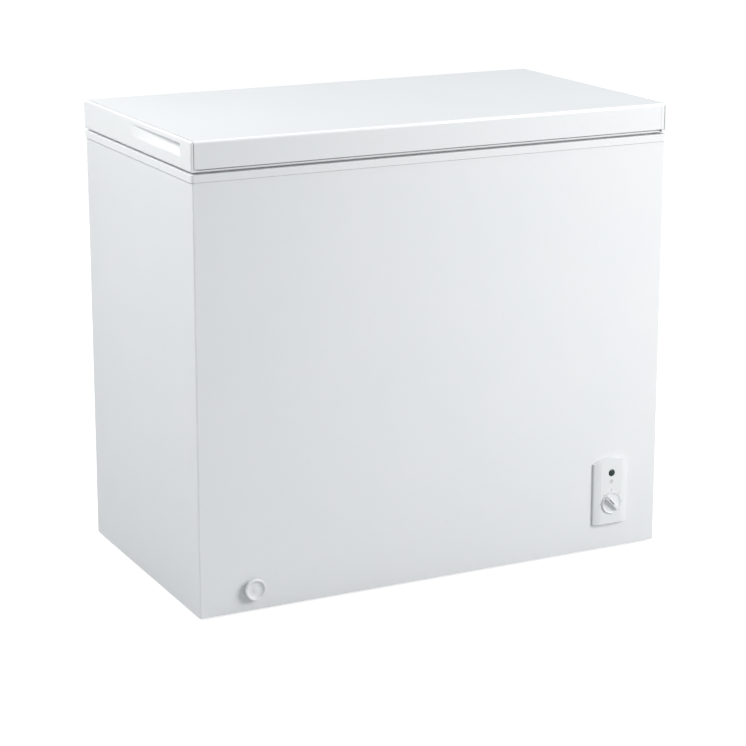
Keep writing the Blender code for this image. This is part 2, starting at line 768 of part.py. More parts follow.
def refrigerant_tubes():
    wall = COMPRESSOR_Y - COMPRESSOR_RADIUS - 0.001
    start = COIL_END_Z - 2 * GAP
    low = COMPRESSOR_BOTTOM + 0.055
    suction = [
        (EVAPORATOR_X, EVAPORATOR_DROP_Y, start), (EVAPORATOR_X, EVAPORATOR_DROP_Y, low),
        (COMPRESSOR_X, EVAPORATOR_DROP_Y, low), (COMPRESSOR_X, wall, low),
    ]
    tube("suction_tube", rounded_path(suction, 0.012), TUBE_RADIUS, "copper")
    level = COMPRESSOR_BOTTOM + 0.050
    discharge = [
        (CONDENSER_X, CONDENSER_DROP_Y, start - 0.04), (CONDENSER_X, CONDENSER_DROP_Y, level),
        (CONDENSER_X, COMPRESSOR_Y, level),
        (COMPRESSOR_X + COMPRESSOR_RADIUS + 0.001, COMPRESSOR_Y, level),
    ]
    tube("discharge_tube", rounded_path(discharge, 0.009), CONDENSER_RADIUS, "copper")


def filter_drier():
    low = PAN_TOP + 0.075
    high = low + DRIER_LENGTH
    profile = [
        (0.003, low), (0.0035, low + 0.006), (DRIER_RADIUS, low + 0.018),
        (DRIER_RADIUS, high - 0.018), (0.0035, high - 0.006), (0.003, high),
    ]
    place = (PARTITION_X + GAP + DRIER_RADIUS, FRONT + CABINET_DEPTH * 0.42)
    turned("filter_drier", profile, "Z", place, "copper", steps=16)


# Plastic cover with level slots over the compartment's rear window.
def rear_grille():
    low, high = rear_window()
    lap = 0.008
    face = REAR_PANEL_OUTER + GAP
    outline = rounded_rectangle(low[0] - lap, high[0] + lap, low[1] - lap, high[1] + lap, 0.006)
    grille = prism("rear_grille", outline, "Y", face, face + GRILLE_THICK, "grey_plastic")
    slots = 8
    first = low[1] + 0.040
    pitch = (high[1] - first - 0.008) / slots
    for number in range(slots):
        bottom = first + number * pitch
        cut(grille, block(
            f"grille_slot_{number + 1}",
            (low[0] + 0.006, face - OVERCUT, bottom),
            (high[0] - 0.006, face + GRILLE_THICK + OVERCUT, bottom + pitch * 0.45),
        ))
    x, z = bush_place()
    cut(grille, cylinder("bush_hole", BUSH_RADIUS, "Y", (x, z), face - OVERCUT, face + 2 * OVERCUT))


def bush_place():
    low, high = rear_window()
    return high[0] - 0.022, low[1] + 0.016


# A bush with two flanges that lines the cord's hole.
def cord_inlet_bush():
    face = REAR_PANEL_OUTER + GAP
    inner = face - GAP
    outer = face + GRILLE_THICK + GAP
    profile = [
        (BUSH_RADIUS - 0.0025, inner - 0.002), (BUSH_RADIUS + 0.002, inner - 0.002),
        (BUSH_RADIUS + 0.002, inner), (BUSH_RADIUS - GAP, inner), (BUSH_RADIUS - GAP, outer),
        (BUSH_RADIUS + 0.002, outer), (BUSH_RADIUS + 0.002, outer + 0.002),
        (BUSH_RADIUS - 0.0025, outer + 0.002),
    ]
    turned("cord_inlet_bush", profile, "Y", bush_place(), "black_plastic", ring=True, steps=16)


def side_vent():
    low, high = vent_window()
    lap = 0.008
    outline = rounded_rectangle(low[0] - lap, high[0] + lap, low[1] - lap, high[1] + lap, 0.006)
    start = SHELL_HALF + GAP
    vent = prism("side_vent", outline, "X", start, start + VENT_THICK - 2 * GAP, "white_plastic")
    slots = 7
    pitch = (high[1] - low[1]) / slots
    for number in range(slots):
        bottom = low[1] + (number + 0.25) * pitch
        cut(vent, block(
            f"vent_slot_{number + 1}",
            (start - OVERCUT, low[0] + 0.004, bottom),
            (start + OVERCUT, high[0] - 0.004, bottom + pitch * 0.45),
        ))


# Controls

def bezel_outline():
    half = BEZEL_WIDTH / 2
    top = BEZEL_BOTTOM + BEZEL_SIDE_HEIGHT
    radius = (half**2 + BEZEL_ARCH**2) / (2 * BEZEL_ARCH)
    centre = top + BEZEL_ARCH - radius
    sweep = math.asin(half / radius)
    arch_steps = 10
    arch = []
    for step in range(arch_steps + 1):
        angle = sweep - 2 * sweep * step / arch_steps
        arch.append((CONTROL_X + radius * math.sin(angle), centre + radius * math.cos(angle)))
    return [(CONTROL_X - half, BEZEL_BOTTOM), (CONTROL_X + half, BEZEL_BOTTOM)] + arch


# Level section of the bezel: a flat middle with a rounded slope down to each edge.
def bezel_section():
    half = BEZEL_WIDTH / 2 + OVERCUT
    steps = 5
    right = []
    for step in range(steps + 1):
        share = step / steps
        x = BEZEL_WIDTH / 2 - BEZEL_SLOPE * share
        rise = BEZEL_CROWN * math.sin(share * math.pi / 2)
        right.append((x, FRONT - BEZEL_EDGE - rise))
    left = [(-x, y) for x, y in reversed(right)]
    edge = FRONT - BEZEL_EDGE
    points = [(half, FRONT + OVERCUT), (half, edge)] + right + left
    points += [(-half, edge), (-half, FRONT + OVERCUT)]
    return [(CONTROL_X + x, y) for x, y in points]


def control_bezel():
    bezel = prism(
        "control_bezel", bezel_outline(), "Y", FRONT - BEZEL_FACE - OVERCUT, FRONT - GAP, "white_plastic"
    )
    low = BEZEL_BOTTOM - OVERCUT
    high = BEZEL_BOTTOM + BEZEL_SIDE_HEIGHT + BEZEL_ARCH + OVERCUT
    combine(bezel, prism("bezel_section", bezel_section(), "Z", low, high), "INTERSECT")
    half = BEZEL_WIDTH / 2 - BEZEL_SLOPE
    back = FRONT - BEZEL_FACE + BEZEL_SKIN
    hollow = block(
        "bezel_hollow",
        (CONTROL_X - half, back, BEZEL_BOTTOM + 0.006),
        (CONTROL_X + half, FRONT + OVERCUT, BEZEL_BOTTOM + BEZEL_SIDE_HEIGHT - 0.004),
    )
    start = FRONT - BEZEL_FACE - OVERCUT
    lens_hole = cylinder("lens_hole", LENS_RADIUS + GAP, "Y", (CONTROL_X, LAMP_Z), start, FRONT)
    shaft_hole = cylinder("shaft_hole", SHAFT_RADIUS + 0.001, "Y", (CONTROL_X, KNOB_Z), start, FRONT)
    cut(bezel, hollow, lens_hole, shaft_hole)


def indicator():
    face = FRONT - BEZEL_FACE
    back = face + BEZEL_SKIN
    profile = [
        (LENS_RADIUS, back), (LENS_RADIUS, face - 0.0006),
        (LENS_RADIUS * 0.80, face - 0.0014), (LENS_RADIUS * 0.35, face - 0.0018),
    ]
    turned("indicator_lens", profile, "Y", (CONTROL_X, LAMP_Z), "green_lens")
    half = LENS_RADIUS + 0.001
    block(
        "lamp_holder",
        (CONTROL_X - half, back + GAP, LAMP_Z - half), (CONTROL_X + half, FRONT + 0.020, LAMP_Z + half),
        "black_plastic",
    )


def thermostat():
    back = FRONT - BEZEL_FACE + BEZEL_SKIN
    half = THERMOSTAT_SIZE / 2
    block(
        "thermostat_body",
        (CONTROL_X - half, back + GAP, KNOB_Z - half),
        (CONTROL_X + half, back + THERMOSTAT_DEPTH, KNOB_Z + half),
        "zinc",
    )
    start = back + THERMOSTAT_DEPTH + GAP
    end = PARTITION_X + GAP + 0.002
    route = [
        (CONTROL_X, start, KNOB_Z), (CONTROL_X, start + 0.045, KNOB_Z),
        (CONTROL_X - 0.035, start + 0.060, KNOB_Z + 0.060), (end, start + 0.060, KNOB_Z + 0.085),
    ]
    tube("sensing_tube", rounded_path(route, 0.012), 0.0015, "copper", resolution=1)


# A round base with a raised grip set across it, pointing to the upper left.
def thermostat_knob():
    face = FRONT - BEZEL_FACE
    base_face = face - KNOB_BASE
    profile = [
        (KNOB_RADIUS, face - GAP), (KNOB_RADIUS, base_face + 0.0015),
        (KNOB_RADIUS - 0.0005, base_face + 0.0005), (KNOB_RADIUS - 0.0015, base_face),
    ]
    knob = turned(
        "thermostat_knob", profile, "Y", (CONTROL_X, KNOB_Z), "white_plastic", steps=36
    )
    levels = [
        (base_face + 0.002, KNOB_FIN_WIDTH / 2 + 0.001, KNOB_RADIUS - 0.0025),
        (base_face - KNOB_FIN + 0.002, KNOB_FIN_WIDTH / 2 - 0.0005, KNOB_RADIUS - 0.0035),
        (base_face - KNOB_FIN, KNOB_FIN_WIDTH / 2 - 0.002, KNOB_RADIUS - 0.0055),
    ]
    turn = Matrix.Rotation(-KNOB_TURN, 4, "Y")
    centre = Vector((CONTROL_X, 0, KNOB_Z))
    loops = []
    for y, half_width, half_length in levels:
        outline = rounded_rectangle(-half_width, half_width, -half_length, half_length, 0.003, 3)
        loops.append([centre + Vector((0, y, 0)) + turn @ Vector((a, 0, b)) for a, b in outline])
    join(knob, loft("knob_grip", loops))
    back = face + BEZEL_SKIN
    tip = base_face - KNOB_FIN / 2
    bore = cylinder("knob_bore", SHAFT_RADIUS + 0.0002, "Y", (CONTROL_X, KNOB_Z), tip, face)
    cut(knob, bore)
    shaft = cylinder(
        "thermostat_shaft", SHAFT_RADIUS, "Y", (CONTROL_X, KNOB_Z), tip + GAP, back, "aluminium"
    )
    hang("knob_axis", (CONTROL_X, face, KNOB_Z), knob, shaft)


# Drain

def drain_pipe():
    front = FRONT + SHEET + GAP
    outer = PIPE_RADIUS + 0.001
    pipe = cylinder(
        "drain_pipe", outer, "Z", (DRAIN_X, DRAIN_Y), DRAIN_Z - outer, FLOOR_HEIGHT, "grey_plastic"
    )
    level = cylinder("pipe_level", PIPE_RADIUS, "Y", (DRAIN_X, DRAIN_Z), front, DRAIN_Y)
    join(pipe, level)
    upright_bore = cylinder(
        "pipe_upright_bore", PIPE_BORE + 0.0005, "Z", (DRAIN_X, DRAIN_Y),
        DRAIN_Z - PIPE_BORE, FLOOR_HEIGHT + OVERCUT,
    )
    level_bore = cylinder(
        "pipe_level_bore", PIPE_BORE, "Y", (DRAIN_X, DRAIN_Z), front - OVERCUT, DRAIN_Y
    )
    cut(pipe, upright_bore, level_bore)


def drain_escutcheon():
    thick = ESCUTCHEON_THICK
    bore = PIPE_BORE
    profile = [
        (bore, FRONT - GAP), (ESCUTCHEON_RADIUS, FRONT - GAP),
        (ESCUTCHEON_RADIUS, FRONT - GAP - thick + 0.001), (ESCUTCHEON_RADIUS - 0.001, FRONT - GAP - thick),
        (bore, FRONT - GAP - thick),
    ]
    turned("drain_escutcheon", profile, "Y", (DRAIN_X, DRAIN_Z), "white_plastic", ring=True)


# The stem is an open tube that slides in the pipe; the dished, necked cap turns on its end.
def drain_stem():
    front = FRONT - CAP_STANDOFF - CAP_SOCKET
    bore = STEM_RADIUS - STEM_WALL
    profile = [
        (bore, front), (STEM_RADIUS, front),
        (STEM_RADIUS, front + STEM_LENGTH), (bore, front + STEM_LENGTH),
    ]
    stem = turned("drain_stem", profile, "Y", (DRAIN_X, DRAIN_Z), "grey_plastic", ring=True)
    hang("drain_axis", (DRAIN_X, FRONT, DRAIN_Z), stem)
    back = FRONT - CAP_STANDOFF
    face = FRONT - CAP_REACH
    rim = CAP_RADIUS
    shoulder = face + CAP_DISC
    profile = [
        (CAP_NECK_RADIUS, back), (CAP_NECK_RADIUS, shoulder + 0.001), (rim - 0.001, shoulder),
        (rim, shoulder - 0.001), (rim, face + 0.003), (rim - 0.0008, face + 0.0008),
        (rim - 0.003, face), (rim - 0.006, face + 0.0006), (rim - 0.008, face + 0.003),
        (rim - 0.012, face + 0.0042),
    ]
    cap = turned("drain_cap", profile, "Y", (DRAIN_X, DRAIN_Z), "white_plastic", steps=32)
    socket = cylinder(
        "cap_socket", STEM_RADIUS + GAP, "Y", (DRAIN_X, DRAIN_Z), front - GAP, back + OVERCUT
    )
    cut(cap, socket)
    hang("drain_cap_axis", (DRAIN_X, back, DRAIN_Z), cap)


# Stopper in the freezer's floor, with a lug to pull it by.
def floor_plug():
    seat = FLOOR_HEIGHT + GAP
    reach = PIPE_BORE - GAP
    profile = [
        (reach - 0.001, seat - 0.014), (reach, seat - 0.012), (reach, seat),
        (PIPE_RADIUS + 0.004, seat), (PIPE_RADIUS + 0.004, seat + 0.0015),
        (PIPE_RADIUS + 0.002, seat + 0.003),
    ]
    plug = turned("floor_drain_plug", profile, "Z", (DRAIN_X, DRAIN_Y), "grey_plastic")
    lug = block(
        "plug_lug", (DRAIN_X - 0.009, DRAIN_Y - 0.0015, seat + 0.001),
        (DRAIN_X + 0.009, DRAIN_Y + 0.0015, seat + 0.014),
    )
    join(plug, lug)
    hang("floor_plug_axis", (DRAIN_X, DRAIN_Y, FLOOR_HEIGHT), plug)


# Lid

def lid_panel():
    bottom = LID_SHEET_BOTTOM
    outer = [
        (LID_FRONT, bottom), (LID_FRONT, OVERALL_HEIGHT), (LID_REAR, OVERALL_HEIGHT), (LID_REAR, bottom),
    ]
    inner = [
        (LID_FRONT + SHEET, bottom), (LID_FRONT + SHEET, OVERALL_HEIGHT - SHEET),
        (LID_REAR - SHEET, OVERALL_HEIGHT - SHEET), (LID_REAR - SHEET, bottom),
    ]
    half = HALF_WIDTH - CAP_PLATE - CAP_SEAM
    outline = sheet_outline(outer, inner, LID_EDGE_RADIUS, SHEET)
    return prism("lid_panel", outline, "X", -half, half, "white_steel")


# A tapering wedge: deep and square-ended towards the front, fading out towards the rear.
def scoop_wedge(name, side, outer_x, rear_x, grow):
    high = OVERALL_HEIGHT - SCOOP_DROP + grow
    low = OVERALL_HEIGHT - SCOOP_DROP - SCOOP_HEIGHT - grow
    front = LID_FRONT + SCOOP_START - grow
    rear = LID_FRONT + SCOOP_END + grow
    deep_x = HALF_WIDTH - SCOOP_DEPTH - grow
    sections = 6
    loops = []
    for section in range(sections + 1):
        share = section / sections
        y = front + (rear - front) * share
        inner_x = deep_x + (rear_x - deep_x) * share
        loops.append([
            (side * outer_x, y, low), (side * outer_x, y, high), (side * inner_x, y, high),
            (side * inner_x, y, high - SCOOP_BACK),
        ])
    return loft(name, loops, split=True)


def lid_end_cap(name, side):
    levels = [(HALF_WIDTH - CAP_PLATE, 0.0), (HALF_WIDTH - CAP_ROUNDING, 0.0)]
    steps = 3
    for step in range(1, steps + 1):
        angle = math.pi / 2 * step / steps
        levels.append((
            HALF_WIDTH - CAP_ROUNDING * (1 - math.sin(angle)), CAP_ROUNDING * (1 - math.cos(angle))
        ))
    loops = []
    for x, inset in levels:
        outline = rounded_rectangle(
            LID_FRONT + inset, LID_REAR - inset, LID_BOTTOM + inset, OVERALL_HEIGHT - inset,
            LID_EDGE_RADIUS - inset,
        )
        loops.append([(side * x, y, z) for y, z in outline])
    cap = loft(f"lid_end_cap_{name}", loops, "white_plastic")
    edges = sorted((side * (HALF_WIDTH - CAP_CORNER_WIDTH), side * (HALF_WIDTH - CAP_PLATE / 2)))
    top = LID_SHEET_BOTTOM - 0.0005
    for end, face, depth in (
        ("front", LID_FRONT + 0.0002, CAP_CORNER_DEPTH), ("rear", LID_REAR - 0.0002, -CAP_CORNER_DEPTH)
    ):
        near, far = sorted((face, face + depth))
        corner = block(
            f"cap_corner_{end}_{name}", (edges[0], near, LID_BOTTOM + 0.0005), (edges[1], far, top)
        )
        join(cap, corner)
    pocket = scoop_wedge(
        f"cap_pocket_{name}", side, HALF_WIDTH - CAP_PLATE / 2, HALF_WIDTH - CAP_PLATE + 0.0004, SCOOP_WALL
    )
    join(cap, pocket)
    cut(cap, scoop_wedge(f"cap_scoop_{name}", side, HALF_WIDTH + 0.0005, HALF_WIDTH + 0.0003, 0.0))
    return cap


def lid_foam():
    inset = SHEET + GAP
    outline = rounded_rectangle(
        LID_FRONT + inset, LID_REAR - inset, LID_SHEET_BOTTOM + GAP,
        OVERALL_HEIGHT - inset, LID_EDGE_RADIUS - inset,
    )
    half = HALF_WIDTH - CAP_PLATE - GAP
    foam = prism("lid_foam", outline, "X", -half, half, "foam")
    for name, side in (("left", -1), ("right", 1)):
        cut(foam, scoop_wedge(
            f"foam_pocket_{name}", side, HALF_WIDTH - CAP_PLATE / 2, HALF_WIDTH - CAP_PLATE, SCOOP_WALL + GAP
        ))
    return foam


# Inner panel of the lid: a plate with a lip turned down all round.
def lid_liner():
    side_inset = CAP_PLATE + 2 * GAP
    bottom = LID_BOTTOM
    top = LID_SHEET_BOTTOM

    def outline(inset, radius):
        return rounded_rectangle(
            side_inset + inset - HALF_WIDTH, HALF_WIDTH - side_inset - inset,
            LID_FRONT + LID_LINER_RECESS + inset, LID_REAR - LID_LINER_RECESS - inset, radius,
        )

    liner = prism("lid_liner", outline(0.0, 0.008), "Z", bottom, top, "liner_white")
    hollow = prism(
        "lid_liner_hollow", outline(LID_LINER_LIP, 0.005), "Z", bottom - OVERCUT, top - LID_LINER_PLATE
    )
    cut(liner, hollow)
    return liner


def lid_gasket():
    top = LID_SHEET_BOTTOM - LID_LINER_PLATE - GAP
    return ring_prism(
        "lid_gasket", lid_outline(GASKET_INSET, 0.010), lid_outline(GASKET_INSET + GASKET_WIDTH, 0.006),
        COLLAR_TOP + GAP, top, "white_rubber",
    )


# Hinges

def across(name, outline, middle, half_width, look=None):
    return prism(name, outline, "X", middle - half_width, middle + half_width, look)


# An open-topped box on the rear panel with two lugs for the pin.
def hinge_housing(name, x):
    base = REAR_PANEL_OUTER + GAP
    back = PIN_Y + HINGE_LUG_RADIUS
    low = PIN_Z - HINGE_DROP
    shoulder = COLLAR_BOTTOM - 2 * GAP
    lug = []
    for step in range(9):
        angle = math.pi * step / 8
        lug.append((PIN_Y + HINGE_LUG_RADIUS * math.cos(angle), PIN_Z + HINGE_LUG_RADIUS * math.sin(angle)))
    outline = [(base, low), (back, low)] + lug
    outline += [(PIN_Y - HINGE_LUG_RADIUS, shoulder), (base, shoulder)]
    housing = across(f"hinge_housing_{name}", outline, x, HINGE_WIDTH / 2, "zinc")
    cavity = rectangle(
        base + HINGE_PLATE, back - HINGE_PLATE, low + HINGE_PLATE, PIN_Z + HINGE_LUG_RADIUS + OVERCUT
    )
    cut(
        housing,
        across(f"housing_cavity_{name}", cavity, x, HINGE_WIDTH / 2 - HINGE_PLATE),
        across(
            f"housing_top_{name}",
            rectangle(back - HINGE_PLATE - OVERCUT, back + OVERCUT, PIN_Z - 0.002, PIN_Z + 2 * OVERCUT),
            x, HINGE_WIDTH / 2 - HINGE_PLATE,
        ),
        cylinder(
            f"housing_pin_hole_{name}", PIN_RADIUS + PIN_CLEARANCE, "X", (PIN_Y, PIN_Z),
            x - HINGE_WIDTH, x + HINGE_WIDTH,
        ),
    )


def hinge_pin(name, x):
    half = HINGE_WIDTH / 2 + GAP
    head = PIN_RADIUS + 0.0015
    profile = [
        (head, x - half - 0.0014), (head, x - half), (PIN_RADIUS, x - half),
        (PIN_RADIUS, x + half), (head, x + half), (head, x + half + 0.0014),
    ]
    turned(f"hinge_pin_{name}", profile, "X", (PIN_Y, PIN_Z), "zinc")


# Leaf on the lid's rear face, a barrel round the pin, and a lever that holds the plunger down.
def hinge_arm(name, x):
    near = LID_REAR + GAP
    web_low = PIN_Z + 0.0015
    leaf = rectangle(near, near + 0.0025, web_low, web_low + HINGE_ARM_HEIGHT + 0.005)
    arm = across(f"hinge_arm_{name}", leaf, x, HINGE_ARM_WIDTH / 2, "zinc")
    web = rectangle(near + 0.001, PIN_Y, web_low + 0.0001, web_low + 0.0036)
    barrel = circle(BARREL_RADIUS, (PIN_Y, PIN_Z))
    angle = math.pi + LEVER_DROP_ANGLE
    along = Vector((math.cos(angle), math.sin(angle)))
    aside = Vector((-along.y, along.x)) * LEVER_HALF_THICK
    pivot = Vector((PIN_Y, PIN_Z))
    tip = pivot + along * LEVER_LENGTH
    start = pivot + along * (PIN_RADIUS + 0.001)
    lever = [tuple(p) for p in (start - aside, tip - aside, tip + aside, start + aside)]
    half = HINGE_ARM_WIDTH / 2
    join(
        arm,
        across(f"arm_web_{name}", web, x, half - 0.0005),
        across(f"arm_barrel_{name}", barrel, x, half - 0.0002),
        across(f"arm_lever_{name}", lever, x, ROLLER_LENGTH / 2 - 0.0003),
        across(f"arm_roller_{name}", circle(ROLLER_RADIUS, tip, 12), x, ROLLER_LENGTH / 2),
    )
    bore = across(
        f"arm_bore_{name}", circle(PIN_RADIUS + PIN_CLEARANCE, (PIN_Y, PIN_Z)), x, HINGE_WIDTH / 2
    )
    cut(arm, bore)
    return arm


def plunger_top():
    return PIN_Z - LEVER_LENGTH * math.sin(LEVER_DROP_ANGLE) - ROLLER_RADIUS - ROLLER_CLEARANCE


def hinge_plunger(name, x):
    top = plunger_top()
    bottom = top - PLUNGER_LENGTH
    y = PIN_Y - PLUNGER_OFFSET
    profile = [(PLUNGER_RADIUS, bottom), (PLUNGER_RADIUS, top - 0.0027), (PLUNGER_TIP_RADIUS, top)]
    plunger = turned(f"hinge_plunger_{name}", profile, "Z", (x, y), "grey_plastic", steps=16)
    hang(f"plunger_axis_{name}", (x, y, bottom), plunger)


def hinge_spring(name, x):
    y = PIN_Y - PLUNGER_OFFSET
    low = PIN_Z - HINGE_DROP + HINGE_PLATE + GAP + SPRING_WIRE
    high = plunger_top() - PLUNGER_LENGTH - GAP - SPRING_WIRE
    per_turn = 7
    count = SPRING_TURNS * per_turn
    radius = min(SPRING_RADIUS, y - REAR_PANEL_OUTER - GAP - HINGE_PLATE - GAP - SPRING_WIRE)
    points = []
    for i in range(count + 1):
        angle = 2 * math.pi * i / per_turn
        height = low + (high - low) * i / count
        points.append((x + radius * math.cos(angle), y + radius * math.sin(angle), height))
    tube(f"hinge_spring_{name}", points, SPRING_WIRE, "zinc", resolution=0)


def lid():
    pieces = [
        lid_panel(), lid_end_cap("left", -1), lid_end_cap("right", 1), lid_foam(), lid_liner(), lid_gasket(),
    ]
    for name, x in (("left", -HINGE_SPACING / 2), ("right", HINGE_SPACING / 2)):
        hinge_housing(name, x)
        hinge_pin(name, x)
        hinge_plunger(name, x)
        hinge_spring(name, x)
        pieces.append(hinge_arm(name, x))
    hang("lid_axis", (0, PIN_Y, PIN_Z), *pieces)


# A hanging tray that hooks over the collar at front and rear.
def basket():
    right = INNER_HALF - BASKET_END_CLEARANCE
    left = right - BASKET_LENGTH
    near = INNER_FRONT + BASKET_SIDE_CLEARANCE
    far = INNER_REAR - BASKET_SIDE_CLEARANCE
    hook_low = COLLAR_TOP + GAP
    hook_high = hook_low + BASKET_HOOK
    bottom = hook_high - BASKET_DEPTH
    tray = prism(
        "hanging_basket", rounded_rectangle(left, right, near, far, 0.015), "Z", bottom, hook_high,
        "coated_wire",
    )
    reach = BASKET_HOOK_REACH
    flange = block(
        "basket_hooks", (left + 0.02, near - reach, hook_low), (right - 0.02, far + reach, hook_high)
    )
    join(tray, flange)
    wall = BASKET_WALL
    inside_tray = prism(
        "basket_inside",
        rounded_rectangle(left + wall, right - wall, near + wall, far - wall, 0.015 - wall),
        "Z", bottom + wall, hook_high + OVERCUT,
    )
    cut(tray, inside_tray)
    hang("basket_axis", ((left + right) / 2, (near + far) / 2, hook_low), tray)


def clear_scene():
    for old in list(bpy.data.objects):
        bpy.data.objects.remove(old, do_unlink=True)


def build():
    clear_scene()
    outer_shell()
    rear_panel()
    foam_plugs()
    base_pan()
    feet()
    compartment_partition()
    cabinet_foam()
    inner_liner()
    collar()
    evaporator_coil()
    condenser_coil()
    compressor()
    starter_box()
    refrigerant_tubes()
    filter_drier()
    rear_grille()
    cord_inlet_bush()
    side_vent()
    control_bezel()
    indicator()
    thermostat()
    thermostat_knob()
    drain_pipe()
    drain_escutcheon()
    drain_stem()
    floor_plug()
    lid()
    basket()


build()
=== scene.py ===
import json
import math

import bmesh
import bpy
from mathutils import Matrix, Vector

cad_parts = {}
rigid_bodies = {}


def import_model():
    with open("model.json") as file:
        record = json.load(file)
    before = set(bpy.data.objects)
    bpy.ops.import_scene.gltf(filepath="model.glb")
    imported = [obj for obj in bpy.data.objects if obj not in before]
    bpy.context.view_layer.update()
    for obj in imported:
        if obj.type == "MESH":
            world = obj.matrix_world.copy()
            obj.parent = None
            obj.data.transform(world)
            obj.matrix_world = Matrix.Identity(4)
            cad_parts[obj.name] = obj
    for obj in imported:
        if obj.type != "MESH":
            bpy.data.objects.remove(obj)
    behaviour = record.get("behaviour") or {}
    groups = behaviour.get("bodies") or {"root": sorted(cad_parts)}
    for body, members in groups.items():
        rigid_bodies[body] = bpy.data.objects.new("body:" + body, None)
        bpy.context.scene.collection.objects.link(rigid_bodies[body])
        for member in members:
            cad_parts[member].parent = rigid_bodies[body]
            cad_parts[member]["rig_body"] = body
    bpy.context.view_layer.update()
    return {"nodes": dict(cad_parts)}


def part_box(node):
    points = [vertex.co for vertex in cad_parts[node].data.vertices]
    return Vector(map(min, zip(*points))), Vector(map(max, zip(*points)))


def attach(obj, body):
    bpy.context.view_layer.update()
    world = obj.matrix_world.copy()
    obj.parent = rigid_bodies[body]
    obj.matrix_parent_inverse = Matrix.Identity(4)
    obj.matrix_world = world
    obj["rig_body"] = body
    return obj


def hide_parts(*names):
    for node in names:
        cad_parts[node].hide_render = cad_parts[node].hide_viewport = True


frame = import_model()
print("frame loaded")


camera = {
    "azimuth": -26.59, "elevation": 13.56, "place": (-1.900, -3.793, 1.498),
    "lens": 111.6, "shiftUp": -0.1,
}


def addObject(name, data):
    made = bpy.data.objects.new(name, data)
    bpy.context.scene.collection.objects.link(made)
    return made


# turns a bmesh into a mesh and lets the bmesh go
def meshFrom(name, shape):
    mesh = bpy.data.meshes.new(name)
    shape.to_mesh(mesh)
    shape.free()
    return mesh


def middleOf(node):
    low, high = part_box(node)
    return (low + high) / 2


def makeCamera():
    data = bpy.data.cameras.new("camera")
    data.sensor_width = 36.0
    data.lens = camera["lens"]
    data.shift_y = camera["shiftUp"]
    data.clip_end = 200.0
    eye = addObject("camera", data)
    turn = math.radians(camera["azimuth"])
    rise = math.radians(camera["elevation"])
    level = math.cos(rise)
    back = Vector((math.sin(turn) * level, -math.cos(turn) * level, math.sin(rise)))
    eye.location = camera["place"]
    eye.rotation_mode = "QUATERNION"
    eye.rotation_quaternion = (-back).to_track_quat("-Z", "Y")
    bpy.context.scene.camera = eye


# each light: place, the point it faces, size in metres, power in watts, colour
lights = {
    "keyRight": ((1.80, -2.30, 1.55), (0.35, -0.26, 0.50), 1.3, 60.0, (1.0, 0.995, 0.985)),
    "fillLeft": ((-1.75, 0.10, 1.95), (-0.47, 0.0, 0.70), 1.0, 32.0, (1.0, 1.0, 0.99)),
    "overhead": ((0.90, 0.00, 2.40), (0.40, 0.0, 0.85), 1.4, 13.0, (1.0, 1.0, 0.99)),
    "rearFill": ((0.20, 3.00, 1.20), (0.0, 0.26, 0.40), 1.4, 32.0, (1.0, 1.0, 1.0)),
}


# strength of the room's light, and of the pale backdrop as it is seen
room = {"light": 0.45, "seen": 1.04, "colour": (0.93, 0.975, 1.0)}


def makeLights():
    for name, (spot, target, size, power, colour) in lights.items():
        data = bpy.data.lights.new(name, "AREA")
        data.shape = "SQUARE"
        data.size = size
        data.energy = power
        data.color = colour
        lamp = addObject(name, data)
        lamp.location = spot
        lamp.rotation_mode = "QUATERNION"
        lamp.rotation_quaternion = (Vector(target) - Vector(spot)).to_track_quat("-Z", "Y")
        lamp.visible_camera = False
        lamp.visible_glossy = name != "rearFill"  # it would mirror in the glossy lid
    world = bpy.data.worlds.new("softRoom")
    world.use_nodes = True
    tree = world.node_tree
    sky = tree.nodes["Background"]
    sight = place(tree, "ShaderNodeLightPath").outputs["Is Camera Ray"]
    strength = remap(tree, sight, 0.0, 1.0, room["light"], room["seen"])
    tree.links.new(strength, sky.inputs["Strength"])
    tint = mixColours(tree, sight, room["colour"], (1.0, 1.0, 1.0))
    tree.links.new(tint, sky.inputs["Color"])
    bpy.context.scene.world = world
    bpy.context.scene.view_settings.view_transform = "Standard"


def place(tree, kind, links=None, **settings):
    node = tree.nodes.new(kind)
    for key, value in settings.items():
        setattr(node, key, value)
    for key, value in (links or {}).items():
        if isinstance(value, bpy.types.NodeSocket):
            tree.links.new(value, node.inputs[key])
        else:
            node.inputs[key].default_value = value
    return node


def calculate(tree, operation, first, second=0.5, third=0.5):
    node = place(tree, "ShaderNodeMath", {0: first, 1: second, 2: third}, operation=operation)
    return node.outputs[0]


def remap(tree, value, low, high, newLow=0.0, newHigh=1.0):
    node = place(tree, "ShaderNodeMapRange", {
        "Value": value, "From Min": low, "From Max": high, "To Min": newLow, "To Max": newHigh,
    })
    return node.outputs["Result"]


def objectPlace(tree):
    return place(tree, "ShaderNodeTexCoord").outputs["Object"]


def cellsAt(tree, scale):
    return place(tree, "ShaderNodeTexVoronoi", {"Vector": objectPlace(tree), "Scale": scale})


def noiseAt(tree, vector, scale, detail=3.0, roughness=0.5):
    node = place(tree, "ShaderNodeTexNoise", {
        "Vector": vector, "Scale": scale, "Detail": detail, "Roughness": roughness,
    })
    return node.outputs["Fac"]


def newGroup(name, takes, gives):
    group = bpy.data.node_groups.new(name, "ShaderNodeTree")
    for label, value in takes.items():
        socket = group.interface.new_socket(label, in_out="INPUT", socket_type="NodeSocketFloat")
        socket.default_value = value
    for label in gives:
        group.interface.new_socket(label, in_out="OUTPUT", socket_type="NodeSocketFloat")
    start = group.nodes.new("NodeGroupInput")
    end = group.nodes.new("NodeGroupOutput")
    return group, start, end


